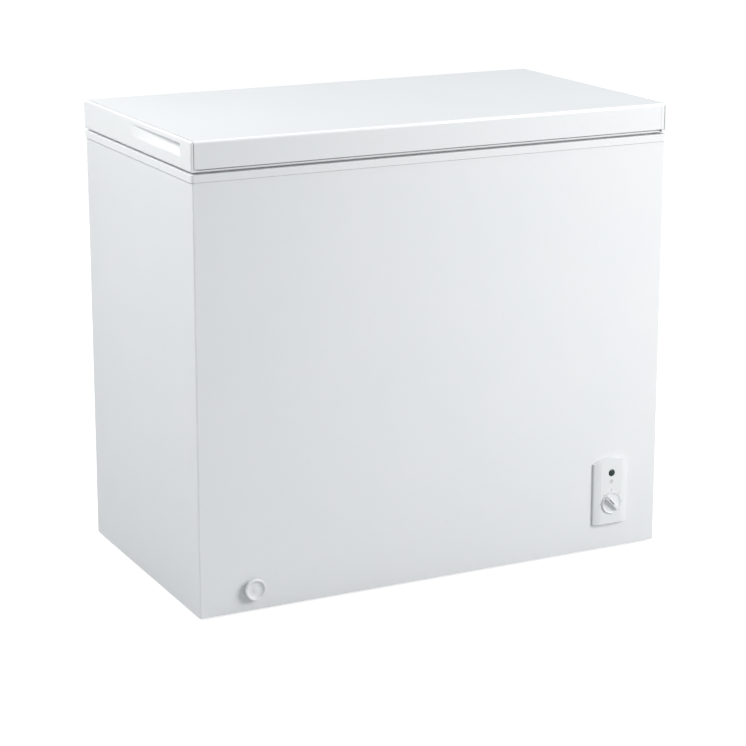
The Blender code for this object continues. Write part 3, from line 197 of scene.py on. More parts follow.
# fine surface grain for bump, and a broad cloudy mask for colour and gloss
def makeGrain():
    group, start, end = newGroup(
        "surfaceGrain", {"Grain Scale": 900.0, "Cloud Scale": 5.0}, ("Height", "Cloud")
    )
    where = objectPlace(group)
    fine = noiseAt(group, where, start.outputs["Grain Scale"], 2.0)
    cloud = noiseAt(group, where, start.outputs["Cloud Scale"], 5.0, 0.6)
    group.links.new(fine, end.inputs["Height"])
    group.links.new(remap(group, cloud, 0.3, 0.7), end.inputs["Cloud"])
    return group


# picks out convex and concave edges, broken up so that the wear is uneven
def makeEdgeWear():
    group, start, end = newGroup(
        "edgeWear", {"Width": 0.001, "Patch Scale": 60.0}, ("Mask",)
    )
    rounded = place(group, "ShaderNodeBevel", {"Radius": start.outputs["Width"]}, samples=4)
    flat = place(group, "ShaderNodeNewGeometry")
    match = place(group, "ShaderNodeVectorMath", {
        0: rounded.outputs["Normal"], 1: flat.outputs["Normal"],
    }, operation="DOT_PRODUCT")
    edge = remap(group, match.outputs["Value"], 0.985, 0.80)
    patches = noiseAt(group, objectPlace(group), start.outputs["Patch Scale"], 4.0, 0.65)
    broken = remap(group, patches, 0.42, 0.66)
    group.links.new(calculate(group, "MULTIPLY", edge, broken), end.inputs["Mask"])
    return group


# faint handling marks: soft streaks and specks that only change the gloss and a little colour
def makeMarks():
    group, start, end = newGroup("handlingMarks", {"Speck Scale": 140.0}, ("Streaks", "Specks"))
    where = objectPlace(group)
    stretched = place(group, "ShaderNodeMapping", {"Vector": where, "Scale": (1.0, 1.0, 0.22)})
    streaks = noiseAt(group, stretched.outputs["Vector"], 26.0, 5.0, 0.7)
    specks = noiseAt(group, where, start.outputs["Speck Scale"], 3.0, 0.4)
    group.links.new(remap(group, streaks, 0.52, 0.78), end.inputs["Streaks"])
    group.links.new(remap(group, specks, 0.70, 0.80), end.inputs["Specks"])
    return group


groups = {"grain": makeGrain(), "wear": makeEdgeWear(), "marks": makeMarks()}


# base and second colour are mixed by the cloudy mask; worn is the colour of rubbed edges
finishes = {
    "white_steel": {
        "base": (0.812, 0.820, 0.828), "second": (0.796, 0.806, 0.817), "worn": (0.60, 0.61, 0.62),
        "rough": (0.30, 0.40), "grain": 420.0, "bump": 0.00004, "wear": 0.35, "coat": 0.25,
        "waves": 0.0012,
    },
    "white_plastic": {
        "base": (0.800, 0.808, 0.814), "second": (0.780, 0.790, 0.798), "worn": (0.64, 0.65, 0.66),
        "rough": (0.38, 0.50), "grain": 1400.0, "bump": 0.00003, "wear": 0.25,
    },
    "liner_white": {
        "base": (0.820, 0.828, 0.833), "second": (0.795, 0.805, 0.812), "worn": (0.62, 0.63, 0.64),
        "rough": (0.32, 0.46), "grain": 240.0, "bump": 0.00010, "wear": 0.20,
    },
    "liner_plastic": {
        "base": (0.820, 0.828, 0.833), "second": (0.795, 0.805, 0.812), "worn": (0.62, 0.63, 0.64),
        "rough": (0.34, 0.48), "grain": 900.0, "bump": 0.00005, "wear": 0.20,
    },
    "grey_plastic": {
        "base": (0.42, 0.44, 0.45), "second": (0.37, 0.39, 0.40), "worn": (0.58, 0.59, 0.60),
        "rough": (0.42, 0.58), "grain": 1200.0, "bump": 0.00005, "wear": 0.45,
    },
    "zinc": {
        "base": (0.60, 0.61, 0.62), "second": (0.47, 0.48, 0.50), "worn": (0.72, 0.72, 0.71),
        "rough": (0.30, 0.48), "grain": 700.0, "bump": 0.00003, "wear": 0.50, "metal": 1.0,
        "spangle": 85.0,
    },
    "foam": {
        "base": (0.72, 0.60, 0.34), "second": (0.62, 0.50, 0.26), "worn": (0.80, 0.72, 0.50),
        "rough": (0.80, 0.95), "grain": 260.0, "bump": 0.0006, "wear": 0.60, "bubbles": 320.0,
    },
    "copper": {
        "base": (0.70, 0.36, 0.22), "second": (0.38, 0.20, 0.13), "worn": (0.86, 0.52, 0.36),
        "rough": (0.24, 0.46), "grain": 600.0, "bump": 0.00004, "wear": 0.30, "metal": 1.0,
    },
    "aluminium": {
        "base": (0.74, 0.75, 0.76), "second": (0.62, 0.63, 0.64), "worn": (0.85, 0.85, 0.85),
        "rough": (0.28, 0.42), "grain": 500.0, "bump": 0.00004, "wear": 0.30, "metal": 1.0,
    },
    "black_steel": {
        "base": (0.018, 0.018, 0.020), "second": (0.035, 0.034, 0.034), "worn": (0.22, 0.21, 0.20),
        "rough": (0.28, 0.50), "grain": 500.0, "bump": 0.00012, "wear": 0.70, "coat": 0.3,
    },
    "black_plastic": {
        "base": (0.024, 0.024, 0.026), "second": (0.040, 0.040, 0.042), "worn": (0.16, 0.16, 0.16),
        "rough": (0.40, 0.60), "grain": 1100.0, "bump": 0.00008, "wear": 0.50,
    },
    "rubber": {
        "base": (0.020, 0.020, 0.020), "second": (0.045, 0.044, 0.043), "worn": (0.12, 0.12, 0.12),
        "rough": (0.62, 0.82), "grain": 800.0, "bump": 0.00010, "wear": 0.50,
    },
    "white_rubber": {
        "base": (0.78, 0.79, 0.80), "second": (0.73, 0.74, 0.75), "worn": (0.55, 0.56, 0.56),
        "rough": (0.52, 0.68), "grain": 900.0, "bump": 0.00006, "wear": 0.30,
    },
    "coated_wire": {
        "base": (0.80, 0.82, 0.83), "second": (0.74, 0.76, 0.77), "worn": (0.55, 0.56, 0.57),
        "rough": (0.26, 0.40), "grain": 500.0, "bump": 0.00008, "wear": 0.30, "coat": 0.3,
    },
    # dark ink; on the knob's pointer line it is also painted shade for the grip's shaded side
    "dark_print": {
        "base": (0.085, 0.090, 0.100), "second": (0.120, 0.125, 0.135), "worn": (0.30, 0.30, 0.31),
        "rough": (0.40, 0.55), "grain": 1500.0, "bump": 0.00002, "wear": 0.20,
    },
}


def mixColours(tree, factor, first, second):
    node = place(tree, "ShaderNodeMix", data_type="RGBA")
    tree.links.new(factor, node.inputs["Factor"])
    for label, colour in (("A", first), ("B", second)):
        socket = [s for s in node.inputs if s.name == label and s.type == "RGBA"][0]
        if isinstance(colour, bpy.types.NodeSocket):
            tree.links.new(colour, socket)
        else:
            socket.default_value = (*colour, 1.0)
    return [s for s in node.outputs if s.type == "RGBA"][0]


# what every finish shares: gloss of a clear coat, and how much specks and streaks show
surface = {"coatRough": 0.18, "speckShade": 0.10, "speckDark": 0.6, "streakGloss": 0.35}


def makeMaterial(name, look):
    material = bpy.data.materials.new(name)
    material.use_nodes = True
    tree = material.node_tree
    shader = tree.nodes["Principled BSDF"]
    shader.inputs["Metallic"].default_value = look.get("metal", 0.0)
    shader.inputs["Coat Weight"].default_value = look.get("coat", 0.0)
    shader.inputs["Coat Roughness"].default_value = surface["coatRough"]
    grain = place(tree, "ShaderNodeGroup", node_tree=groups["grain"])
    grain.inputs["Grain Scale"].default_value = look["grain"]
    wear = place(tree, "ShaderNodeGroup", node_tree=groups["wear"])
    marks = place(tree, "ShaderNodeGroup", node_tree=groups["marks"])
    tint = grain.outputs["Cloud"]
    height = grain.outputs["Height"]
    if "spangle" in look:
        cells = cellsAt(tree, look["spangle"])
        shade = place(tree, "ShaderNodeSeparateColor", {"Color": cells.outputs["Color"]})
        tint = calculate(tree, "MULTIPLY", shade.outputs[0], remap(tree, tint, 0.0, 1.0, 0.55, 1.0))
    if "bubbles" in look:
        cells = cellsAt(tree, look["bubbles"])
        height = calculate(tree, "ADD", cells.outputs["Distance"], height)
    if "waves" in look:
        # large, very shallow waves of thin sheet
        broad = noiseAt(tree, objectPlace(tree), 2.6, 1.0)
        height = calculate(tree, "MULTIPLY_ADD", broad, look["waves"] / look["bump"], height)
    colour = mixColours(tree, tint, look["base"], look["second"])
    rubbed = calculate(tree, "MULTIPLY", wear.outputs["Mask"], look["wear"])
    colour = mixColours(tree, rubbed, colour, look["worn"])
    faint = calculate(tree, "MULTIPLY", marks.outputs["Specks"], surface["speckShade"])
    speck = tuple(part * surface["speckDark"] for part in look["base"])
    colour = mixColours(tree, faint, colour, speck)
    tree.links.new(colour, shader.inputs["Base Color"])
    low, high = look["rough"]
    gloss = calculate(tree, "MULTIPLY_ADD", marks.outputs["Streaks"], surface["streakGloss"], tint)
    most = 1.0 + surface["streakGloss"]
    tree.links.new(remap(tree, gloss, 0.0, most, low, high), shader.inputs["Roughness"])
    bump = place(tree, "ShaderNodeBump", {
        "Strength": 1.0, "Distance": look["bump"], "Height": height,
    })
    tree.links.new(bump.outputs["Normal"], shader.inputs["Normal"])
    return material


materials = {name: makeMaterial(name, look) for name, look in finishes.items()}


lens = {
    "paintedGlow": (0.005, 0.034, 0.026), "edge": (0.003, 0.014, 0.012), "dome": 0.0018, "side": 0.0016,
    "flutes": 5200.0, "rimStart": 0.0020, "rimEnd": 0.0075, "rimUneven": 0.0018, "steps": 8,
}


# dark green moulded lens: lighter in the middle as a painted glow and darker at the rim as painted
# shade, with fine flutes under a glossy face
def makeLensMaterial():
    material = bpy.data.materials.new("green_lens")
    material.use_nodes = True
    tree = material.node_tree
    shader = tree.nodes["Principled BSDF"]
    shader.inputs["Roughness"].default_value = 0.14
    shader.inputs["Coat Weight"].default_value = 0.35
    shader.inputs["Coat Roughness"].default_value = 0.05
    where = objectPlace(tree)
    centred = place(tree, "ShaderNodeMapping", {
        "Vector": where, "Location": tuple(-middleOf("indicator_lens")),
    })
    parts = place(tree, "ShaderNodeSeparateXYZ", {"Vector": centred.outputs["Vector"]})
    flat = calculate(tree, "ADD", calculate(tree, "POWER", parts.outputs["X"], 2.0),
                     calculate(tree, "POWER", parts.outputs["Z"], 2.0))
    radius = calculate(tree, "SQRT", flat)
    cloud = noiseAt(tree, where, 700.0, 3.0)
    uneven = calculate(tree, "MULTIPLY_ADD", cloud, lens["rimUneven"], radius)
    rim = remap(tree, uneven, lens["rimStart"], lens["rimEnd"])
    # base colour runs from the painted glow in the middle to the painted shade of the darker rim
    tree.links.new(mixColours(tree, rim, lens["paintedGlow"], lens["edge"]), shader.inputs["Base Color"])
    across = calculate(tree, "MULTIPLY", parts.outputs["X"], lens["flutes"])
    flutes = calculate(tree, "SINE", across)
    bump = place(tree, "ShaderNodeBump", {"Strength": 0.5, "Distance": 0.0001, "Height": flutes})
    tree.links.new(bump.outputs["Normal"], shader.inputs["Normal"])
    return material


materials["green_lens"] = makeLensMaterial()

# the dial's print: eight radial dashes, the top one longer, and a plain on/off sign
dialPrint = {
    "dashStart": 0.0222, "dashEnd": 0.0250, "topDashEnd": 0.0278, "dashHalf": 0.00042,
    "signDrop": 0.0165, "signRadius": 0.0030, "signLine": 0.00045,
    "signGap": 0.55, "signBar": 1.25, "ink": (0.20, 0.21, 0.22),
}


def makeDialMaterial():
    material = makeMaterial("dial_plastic", finishes["white_plastic"])
    tree = material.node_tree
    shader = tree.nodes["Principled BSDF"]
    knobMiddle = middleOf("thermostat_knob")
    lampMiddle = middleOf("indicator_lens")
    parts = place(tree, "ShaderNodeSeparateXYZ", {"Vector": objectPlace(tree)})

    def polar(middle):
        across = calculate(tree, "SUBTRACT", parts.outputs["X"], middle[0])
        up = calculate(tree, "SUBTRACT", parts.outputs["Z"], middle[1])
        squared = calculate(tree, "ADD", calculate(tree, "POWER", across, 2.0),
                            calculate(tree, "POWER", up, 2.0))
        return across, up, calculate(tree, "SQRT", squared)

    def between(value, low, high):
        above = calculate(tree, "GREATER_THAN", value, low)
        return calculate(tree, "MULTIPLY", above, calculate(tree, "LESS_THAN", value, high))

    across, up, radius = polar((knobMiddle.x, knobMiddle.z))
    angle = calculate(tree, "ARCTAN2", across, up)
    eighths = calculate(tree, "SINE", calculate(tree, "MULTIPLY", angle, 4.0))
    sideways = calculate(tree, "MULTIPLY", calculate(tree, "ABSOLUTE", eighths), radius)
    narrow = calculate(tree, "LESS_THAN", sideways, dialPrint["dashHalf"] * 4)
    within = between(radius, dialPrint["dashStart"], dialPrint["dashEnd"])
    dashes = calculate(tree, "MULTIPLY", narrow, within)
    slim = calculate(tree, "LESS_THAN", calculate(tree, "ABSOLUTE", across), dialPrint["dashHalf"])
    within = between(up, dialPrint["dashStart"], dialPrint["topDashEnd"])
    topDash = calculate(tree, "MULTIPLY", slim, within)
    ink = calculate(tree, "MAXIMUM", dashes, topDash)
    # on/off sign under the lamp: an open ring with a short upright bar
    across, up, radius = polar((lampMiddle.x, lampMiddle.z - dialPrint["signDrop"]))
    line = dialPrint["signLine"]
    ring = between(radius, dialPrint["signRadius"] - line, dialPrint["signRadius"] + line)
    angle = calculate(tree, "ABSOLUTE", calculate(tree, "ARCTAN2", across, up))
    beside = calculate(tree, "GREATER_THAN", angle, dialPrint["signGap"])
    openRing = calculate(tree, "MULTIPLY", ring, beside)
    bar = calculate(tree, "MULTIPLY",
                    calculate(tree, "LESS_THAN", calculate(tree, "ABSOLUTE", across), line),
                    between(up, 0.0, dialPrint["signRadius"] * dialPrint["signBar"]))
    ink = calculate(tree, "MAXIMUM", ink, calculate(tree, "MAXIMUM", openRing, bar))
    plain = shader.inputs["Base Color"].links[0].from_socket
    speckle = noiseAt(tree, objectPlace(tree), 2600.0, 2.0)
    strength = calculate(tree, "MULTIPLY", ink, remap(tree, speckle, 0.2, 0.6, 0.75, 1.0))
    tree.links.new(mixColours(tree, strength, plain, dialPrint["ink"]), shader.inputs["Base Color"])
    return material


materials["dial_plastic"] = makeDialMaterial()
print("materials made")


def cube(low, high):
    shape = bmesh.new()
    bmesh.ops.create_cube(shape, size=1.0)
    low, high = Vector(low), Vector(high)
    bmesh.ops.scale(shape, vec=high - low, verts=shape.verts)
    bmesh.ops.translate(shape, vec=(low + high) / 2, verts=shape.verts)
    return shape


def bevelEdges(shape, edges, offset, segments):
    bmesh.ops.bevel(
        shape, geom=edges, offset=offset, offset_type="OFFSET", segments=segments, profile=0.5,
        affect="EDGES", clamp_overlap=True, material=-1,
    )


def edgesWhere(shape, test):
    return [edge for edge in shape.edges if all(test(vert.co) for vert in edge.verts)]


def facesWhere(shape, test):
    return [face for face in shape.faces if test(face)]


def near(value, target, within=0.00001):
    return abs(value - target) < within


# the edges that reach further than a length along one axis
def runsAlong(edges, axis, length):
    return [e for e in edges if abs(e.verts[0].co[axis] - e.verts[1].co[axis]) > length]


# extrudes edges into a wall that ends at one place on an axis
def wallTo(shape, edges, axis, end):
    for part in bmesh.ops.extrude_edge_only(shape, edges=edges)["geom"]:
        if isinstance(part, bmesh.types.BMVert):
            part.co[axis] = end


# a profile of (radius, depth) turned about the front-to-back axis through the middle point
def spun(profile, middle, steps=48):
    shape = bmesh.new()
    middle = Vector(middle)
    points = [middle + Vector((radius, along, 0.0)) for radius, along in profile]
    verts = [shape.verts.new(point) for point in points]
    edges = [shape.edges.new(pair) for pair in zip(verts, verts[1:])]
    bmesh.ops.spin(
        shape, geom=verts + edges, cent=middle, axis=(0.0, 1.0, 0.0), angle=2 * math.pi,
        steps=steps, use_merge=True,
    )
    bmesh.ops.remove_doubles(shape, verts=shape.verts, dist=0.000005)
    bmesh.ops.recalc_face_normals(shape, faces=shape.faces)
    return shape


def joinShapes(*shapes):
    whole = bmesh.new()
    for shape in shapes:
        mesh = meshFrom("part", shape)
        whole.from_mesh(mesh)
        bpy.data.meshes.remove(mesh)
    return whole


def tubeAlong(name, runs, radius, sides=2, closed=False):
    curve = bpy.data.curves.new(name, "CURVE")
    curve.dimensions = "3D"
    curve.bevel_depth = radius
    curve.bevel_resolution = sides
    curve.use_fill_caps = True
    for points in runs:
        spline = curve.splines.new("POLY")
        spline.points.add(len(points) - 1)
        for target, point in zip(spline.points, points):
            target.co = (*point, 1.0)
        spline.use_cyclic_u = closed
    carrier = addObject(name, curve)
    bpy.context.view_layer.update()
    mesh = bpy.data.meshes.new_from_object(carrier)
    bpy.data.objects.remove(carrier)
    bpy.data.curves.remove(curve)
    shape = bmesh.new()
    shape.from_mesh(mesh)
    bpy.data.meshes.remove(mesh)
    bmesh.ops.remove_doubles(shape, verts=shape.verts, dist=0.000005)
    bmesh.ops.recalc_face_normals(shape, faces=shape.faces)
    return shape


madePieces = []


# turns a finished bmesh into a piece that rides on a body and stands for CAD nodes
def finishPiece(name, shape, material, body, slot, *nodes, smoothAngle=35.0):
    mesh = meshFrom(name, shape)
    if "custom_normal" in mesh.attributes:
        mesh.attributes.remove(mesh.attributes["custom_normal"])
    mesh.shade_smooth()
    mesh.set_sharp_from_angle(angle=math.radians(smoothAngle))
    mesh.materials.clear()
    mesh.materials.append(materials[material])
    piece = addObject(name, mesh)
    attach(piece, body)
    if nodes:
        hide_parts(*nodes)
    madePieces.append(piece)
    return piece


def softenEdges(piece, width, segments=2, angle=45.0):
    bevel = piece.modifiers.new("softEdges", "BEVEL")
    bevel.width = width
    bevel.segments = segments
    bevel.limit_method = "ANGLE"
    bevel.angle_limit = math.radians(angle)
    bevel.use_clamp_overlap = True
    bevel.harden_normals = True


# large flat faces keep their own direction where they meet a rounded edge
def evenNormals(piece):
    even = piece.modifiers.new("evenNormals", "WEIGHTED_NORMAL")
    even.keep_sharp = True
    even.weight = 80


def bodyOf(node):
    return frame["nodes"][node]["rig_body"]


def slotOf(node):
    return frame["nodes"][node].material_slots[0].name


# a merged, smoothly shaded copy of a CAD node with softened edges
def refined(node, name, soften=0.0, segments=2):
    shape = bmesh.new()
    shape.from_mesh(frame["nodes"][node].data)
    bmesh.ops.remove_doubles(shape, verts=shape.verts, dist=0.00001)
    bmesh.ops.dissolve_limit(
        shape, angle_limit=math.radians(0.8), use_dissolve_boundaries=False,
        verts=shape.verts, edges=shape.edges,
    )
    slot = slotOf(node)
    piece = finishPiece(name, shape, slot, bodyOf(node), slot, node)
    if soften:
        softenEdges(piece, soften, segments)
    return piece


# cuts a tool's shape out of a piece for good
def carve(piece, tool):
    mesh = meshFrom("tool", tool)
    cutter = addObject("tool", mesh)
    change = piece.modifiers.new("carve", "BOOLEAN")
    change.operation = "DIFFERENCE"
    change.solver = "EXACT"
    change.object = cutter
    bpy.context.view_layer.update()
    carved = piece.evaluated_get(bpy.context.evaluated_depsgraph_get())
    result = bpy.data.meshes.new_from_object(carved)
    piece.modifiers.remove(change)
    old = piece.data
    piece.data = result
    result.name = piece.name
    bpy.data.objects.remove(cutter)
    bpy.data.meshes.remove(mesh)
    bpy.data.meshes.remove(old)


lidPanel = {"edgeRadius": 0.005, "segments": 8, "sheet": 0.0008}


def makeLidPanel():
    low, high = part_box("lid_panel")
    shape = cube(low, high)
    gone = facesWhere(shape, lambda face: face.normal.z < -0.9 or abs(face.normal.x) > 0.9)
    bmesh.ops.delete(shape, geom=gone, context="FACES")
    top = edgesWhere(shape, lambda spot: near(spot.z, high.z))
    bevelEdges(shape, runsAlong(top, 0, 0.5), lidPanel["edgeRadius"], lidPanel["segments"])
    piece = finishPiece("lidPanel", shape, "white_steel", "lid", "white_steel", "lid_panel")
    sheet = piece.modifiers.new("sheet", "SOLIDIFY")
    sheet.thickness = lidPanel["sheet"]
    sheet.offset = -1.0


endCap = {
    "plate": 0.005, "corner": 0.005, "rounding": 0.0035, "wall": 0.0016,
    "scoopStart": 0.048, "scoopEnd": 0.282, "scoopDrop": 0.0095, "scoopHeight": 0.0225,
    "scoopDepth": 0.0185, "along": 40, "up": 16, "curve": 0.62,
    "stripInner": 0.0105, "stripDeep": 0.003, "stripTop": 0.0050,
    "bandInner": 0.0125, "bandOuter": 0.0060, "bandProud": 0.00025, "inFromFace": 0.0002,
    "clear": 0.0005, "softEdge": 0.0004,
}


# one moulded end of the lid, with a hand scoop that is deep at its front and fades to the rear
def makeEndCap(node, name, side):
    low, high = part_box(node)
    outer = side * max(abs(low.x), abs(high.x))
    inner = outer - side * endCap["plate"]
    shape = cube((min(outer, inner), low.y, low.z), (max(outer, inner), high.y, high.z))
    hidden = facesWhere(shape, lambda face: face.normal.x * side < -0.9)
    bmesh.ops.delete(shape, geom=hidden, context="FACES")
    bevelEdges(shape, runsAlong(shape.edges, 0, 0.004), endCap["corner"], 6)
    rounded = edgesWhere(shape, lambda spot: near(spot.x, outer))
    bevelEdges(shape, rounded, endCap["rounding"], 5)
    start = low.y + endCap["scoopStart"]
    end = low.y + endCap["scoopEnd"]
    top = high.z - endCap["scoopDrop"]
    bottom = top - endCap["scoopHeight"]
    for point, normal in (
        ((0, start, 0), (0, 1, 0)), ((0, end, 0), (0, 1, 0)),
        ((0, 0, top), (0, 0, 1)), ((0, 0, bottom), (0, 0, 1)),
    ):
        flat = facesWhere(shape, lambda face: all(near(v.co.x, outer) for v in face.verts))
        parts = set(flat)
        for face in flat:
            parts.update(face.edges)
            parts.update(face.verts)
        bmesh.ops.bisect_plane(
            shape, geom=list(parts), plane_co=point, plane_no=normal, dist=0.00001,
        )

    def inScoop(spot):
        spare = 0.0001
        level = start - spare < spot.y < end + spare
        return level and bottom - spare < spot.z < top + spare

    opening = facesWhere(shape, lambda face: near(face.calc_center_median().x, outer)
                         and all(inScoop(v.co) for v in face.verts))
    bmesh.ops.delete(shape, geom=opening, context="FACES")
    rims = [e for e in shape.edges if e.is_boundary and all(
        near(v.co.x, outer) and inScoop(v.co) for v in e.verts)]
    level = runsAlong(rims, 1, 0.1)
    upright = [e for e in rims if e not in level]
    bmesh.ops.subdivide_edges(shape, edges=level, cuts=endCap["along"] - 1)
    bmesh.ops.subdivide_edges(shape, edges=upright, cuts=endCap["up"] - 1)

    scoop = bmesh.new()
    bmesh.ops.create_grid(scoop, x_segments=endCap["along"], y_segments=endCap["up"], size=0.5)
    for vert in scoop.verts:
        share = vert.co.x + 0.5
        rise = vert.co.y + 0.5
        depth = endCap["scoopDepth"] * (1.0 - share) * rise ** endCap["curve"]
        vert.co = (
            outer - side * depth, start + (end - start) * share, bottom + (top - bottom) * rise
        )
    for edges in (
        [e for e in scoop.edges if all(near(v.co.z, top) for v in e.verts)],
        [e for e in scoop.edges if all(near(v.co.y, start) for v in e.verts)],
    ):
        wallTo(scoop, edges, 0, outer)
    shape = joinShapes(shape, scoop)
    bmesh.ops.remove_doubles(shape, verts=shape.verts, dist=0.00002)
    bmesh.ops.recalc_face_normals(shape, faces=shape.faces)
    face = max(shape.faces, key=lambda face: face.calc_area())
    if face.normal.x * side < 0:
        bmesh.ops.reverse_faces(shape, faces=shape.faces)
    piece = finishPiece(
        name, shape, "white_plastic", "lid", "white_plastic", node, smoothAngle=40.0,
    )
    wall = piece.modifiers.new("wall", "SOLIDIFY")
    wall.thickness = endCap["wall"]
    wall.offset = -1.0
    strips = []
    for front in (True, False):
        face = low.y + endCap["inFromFace"] if front else high.y - endCap["inFromFace"]
        deep = face + (endCap["stripDeep"] if front else -endCap["stripDeep"])
        edge = side * (abs(outer) - endCap["stripInner"])
        close = side * (abs(outer) - endCap["wall"])
        strips.append(cube(
            (min(edge, close), min(face, deep), low.z + endCap["clear"]),
            (max(edge, close), max(face, deep), low.z + endCap["stripTop"]),
        ))
    # flat border at the front sheet's end
    band = sorted(side * (abs(outer) - endCap[key]) for key in ("bandInner", "bandOuter"))
    strips.append(cube(
        (band[0], low.y - endCap["bandProud"], low.z + endCap["stripTop"] + 0.0008),
        (band[1], low.y + endCap["inFromFace"], high.z - endCap["corner"] - endCap["clear"]),
    ))
    corner = finishPiece(
        name + "Corners", joinShapes(*strips), "white_plastic", "lid", "white_plastic",
    )
    softenEdges(corner, endCap["softEdge"])


# a flat rounded plate as one face that looks down, ready to be inset
def roundedPlate(low, high, height, radius):
    shape = bmesh.new()
    corners = [(low.x, high.y), (high.x, high.y), (high.x, low.y), (low.x, low.y)]
    shape.faces.new([shape.verts.new((x, y, height)) for x, y in corners])
    bmesh.ops.bevel(
        shape, geom=list(shape.verts), offset=radius, offset_type="OFFSET", segments=8,
        profile=0.5, affect="VERTICES", clamp_overlap=True, material=-1,
    )
    shape.faces.ensure_lookup_table()
    return shape


def insetSteps(shape, steps):
    face = max(shape.faces, key=lambda face: face.calc_area())
    for thickness, depth in steps:
        bmesh.ops.inset_region(
            shape, faces=[face], thickness=thickness, depth=depth, use_boundary=True,
            use_even_offset=True,
        )
    return face


# a closed plate whose lower side is shaped by steps of (inward, outward) from its rim
def steppedPlate(low, high, height, radius, steps):
    shape = roundedPlate(low, high, height, radius)
    rim = list(shape.edges)
    insetSteps(shape, steps)
    bmesh.ops.contextual_create(shape, geom=rim)
    bmesh.ops.recalc_face_normals(shape, faces=shape.faces)
    return shape


lidLiner = {
    "corner": 0.008,
    # width and depth of each step from the outer edge inwards
    "steps": ((0.0001, 0.0024), (0.0005, 0.0005), (0.0018, 0.0), (0.0006, -0.0025)),
    "seatInset": 0.0035, "seatHeight": 0.0026,
    "fieldInset": 0.075, "fieldCorner": 0.030, "fieldDrop": 0.0030,
    "fieldSteps": ((0.0003, 0.0001), (0.0014, 0.0004), (0.0018, 0.0004), (0.0010, 0.0001)),
}


def makeLidLiner():
    low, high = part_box("lid_liner")
    corner = lidLiner["corner"]
    lip = steppedPlate(low, high, high.z - lidLiner["seatHeight"], corner, lidLiner["steps"])
    # narrower seat between the lip and the sheet, which leaves a fine groove all round
    edge = Vector((lidLiner["seatInset"], lidLiner["seatInset"], 0.0))
    sides = ((0.0001, lidLiner["seatHeight"]),)
    seat = steppedPlate(low + edge, high - edge, high.z, corner, sides)
    finishPiece(
        "lidLiner", joinShapes(lip, seat), "liner_white", "lid", "liner_white", "lid_liner",
        smoothAngle=30.0,
    )
    # low raised field in the middle of the liner
    edge = Vector((lidLiner["fieldInset"], lidLiner["fieldInset"], 0.0))
    field = steppedPlate(
        low + edge, high - edge, high.z - lidLiner["fieldDrop"], lidLiner["fieldCorner"],
        lidLiner["fieldSteps"],
    )
    finishPiece("lidLinerField", field, "liner_white", "lid", "liner_white", smoothAngle=30.0)


gasket = {
    "corner": 0.0150,
    "steps": (
        (0.0002, 0.0030), (0.0008, 0.0020), (0.0016, 0.0003), (0.0012, -0.0022), (0.0006, 0.0),
        (0.0008, 0.0020), (0.0040, 0.0), (0.0008, -0.0020), (0.0006, 0.0), (0.0014, 0.0015),
        (0.0008, -0.0010), (0.0002, -0.0036),
    ),
}


def makeGasket():
    low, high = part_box("lid_gasket")
    shape = roundedPlate(low, high, high.z, gasket["corner"])
    rim = list(shape.edges)
    face = insetSteps(shape, gasket["steps"])
    inner = list(face.edges)
    bmesh.ops.delete(shape, geom=[face], context="FACES_ONLY")
    bmesh.ops.bridge_loops(shape, edges=rim + inner)
    bmesh.ops.recalc_face_normals(shape, faces=shape.faces)
    finishPiece(
        "lidGasket", shape, "white_rubber", "lid", "white_rubber", "lid_gasket", smoothAngle=50.0,
    )


lidFoam = {"endGap": 0.0015, "endReach": 0.003, "hem": 0.030}


# the foam core stops short of the end caps; a sheet flange covers each end and the front and
# rear strips of its underside
def makeLidFoam():
    piece = refined("lid_foam", "lidFoam")
    low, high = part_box("lid_foam")
    hems = (low.y + lidFoam["hem"], high.y - lidFoam["hem"])
    shape = bmesh.new()
    shape.from_mesh(piece.data)
    for hem in hems:
        parts = list(shape.verts) + list(shape.edges) + list(shape.faces)
        bmesh.ops.bisect_plane(
            shape, geom=parts, plane_co=(0.0, hem, 0.0), plane_no=(0.0, 1.0, 0.0),
        )
    shape.to_mesh(piece.data)
    shape.free()
    piece.data.materials.append(materials["white_steel"])
    for vert in piece.data.vertices:
        if near(abs(vert.co.x), high.x, 0.0001):
            vert.co.x -= math.copysign(lidFoam["endGap"], vert.co.x)
    for face in piece.data.polygons:
        atEnd = abs(face.normal.x) > 0.9 and abs(face.center.x) > high.x - lidFoam["endReach"]
        atHem = face.center.y < hems[0] or face.center.y > hems[1]
        if atEnd or (atHem and face.normal.z < 0.5):
            face.material_index = 1


makeLidFoam()
makeLidPanel()
makeEndCap("lid_end_cap_left", "leftEndCap", -1)
makeEndCap("lid_end_cap_right", "rightEndCap", 1)
makeLidLiner()
makeGasket()
print("lid made")


bezel = {
    "flatHalf": 0.022, "crown": 0.0045, "arch": 0.009, "columns": 74, "edge": 0.0009,
    "lensHole": 0.0069, "holeDepth": 0.006, "holeReach": 0.004, "start": 0.42,
}


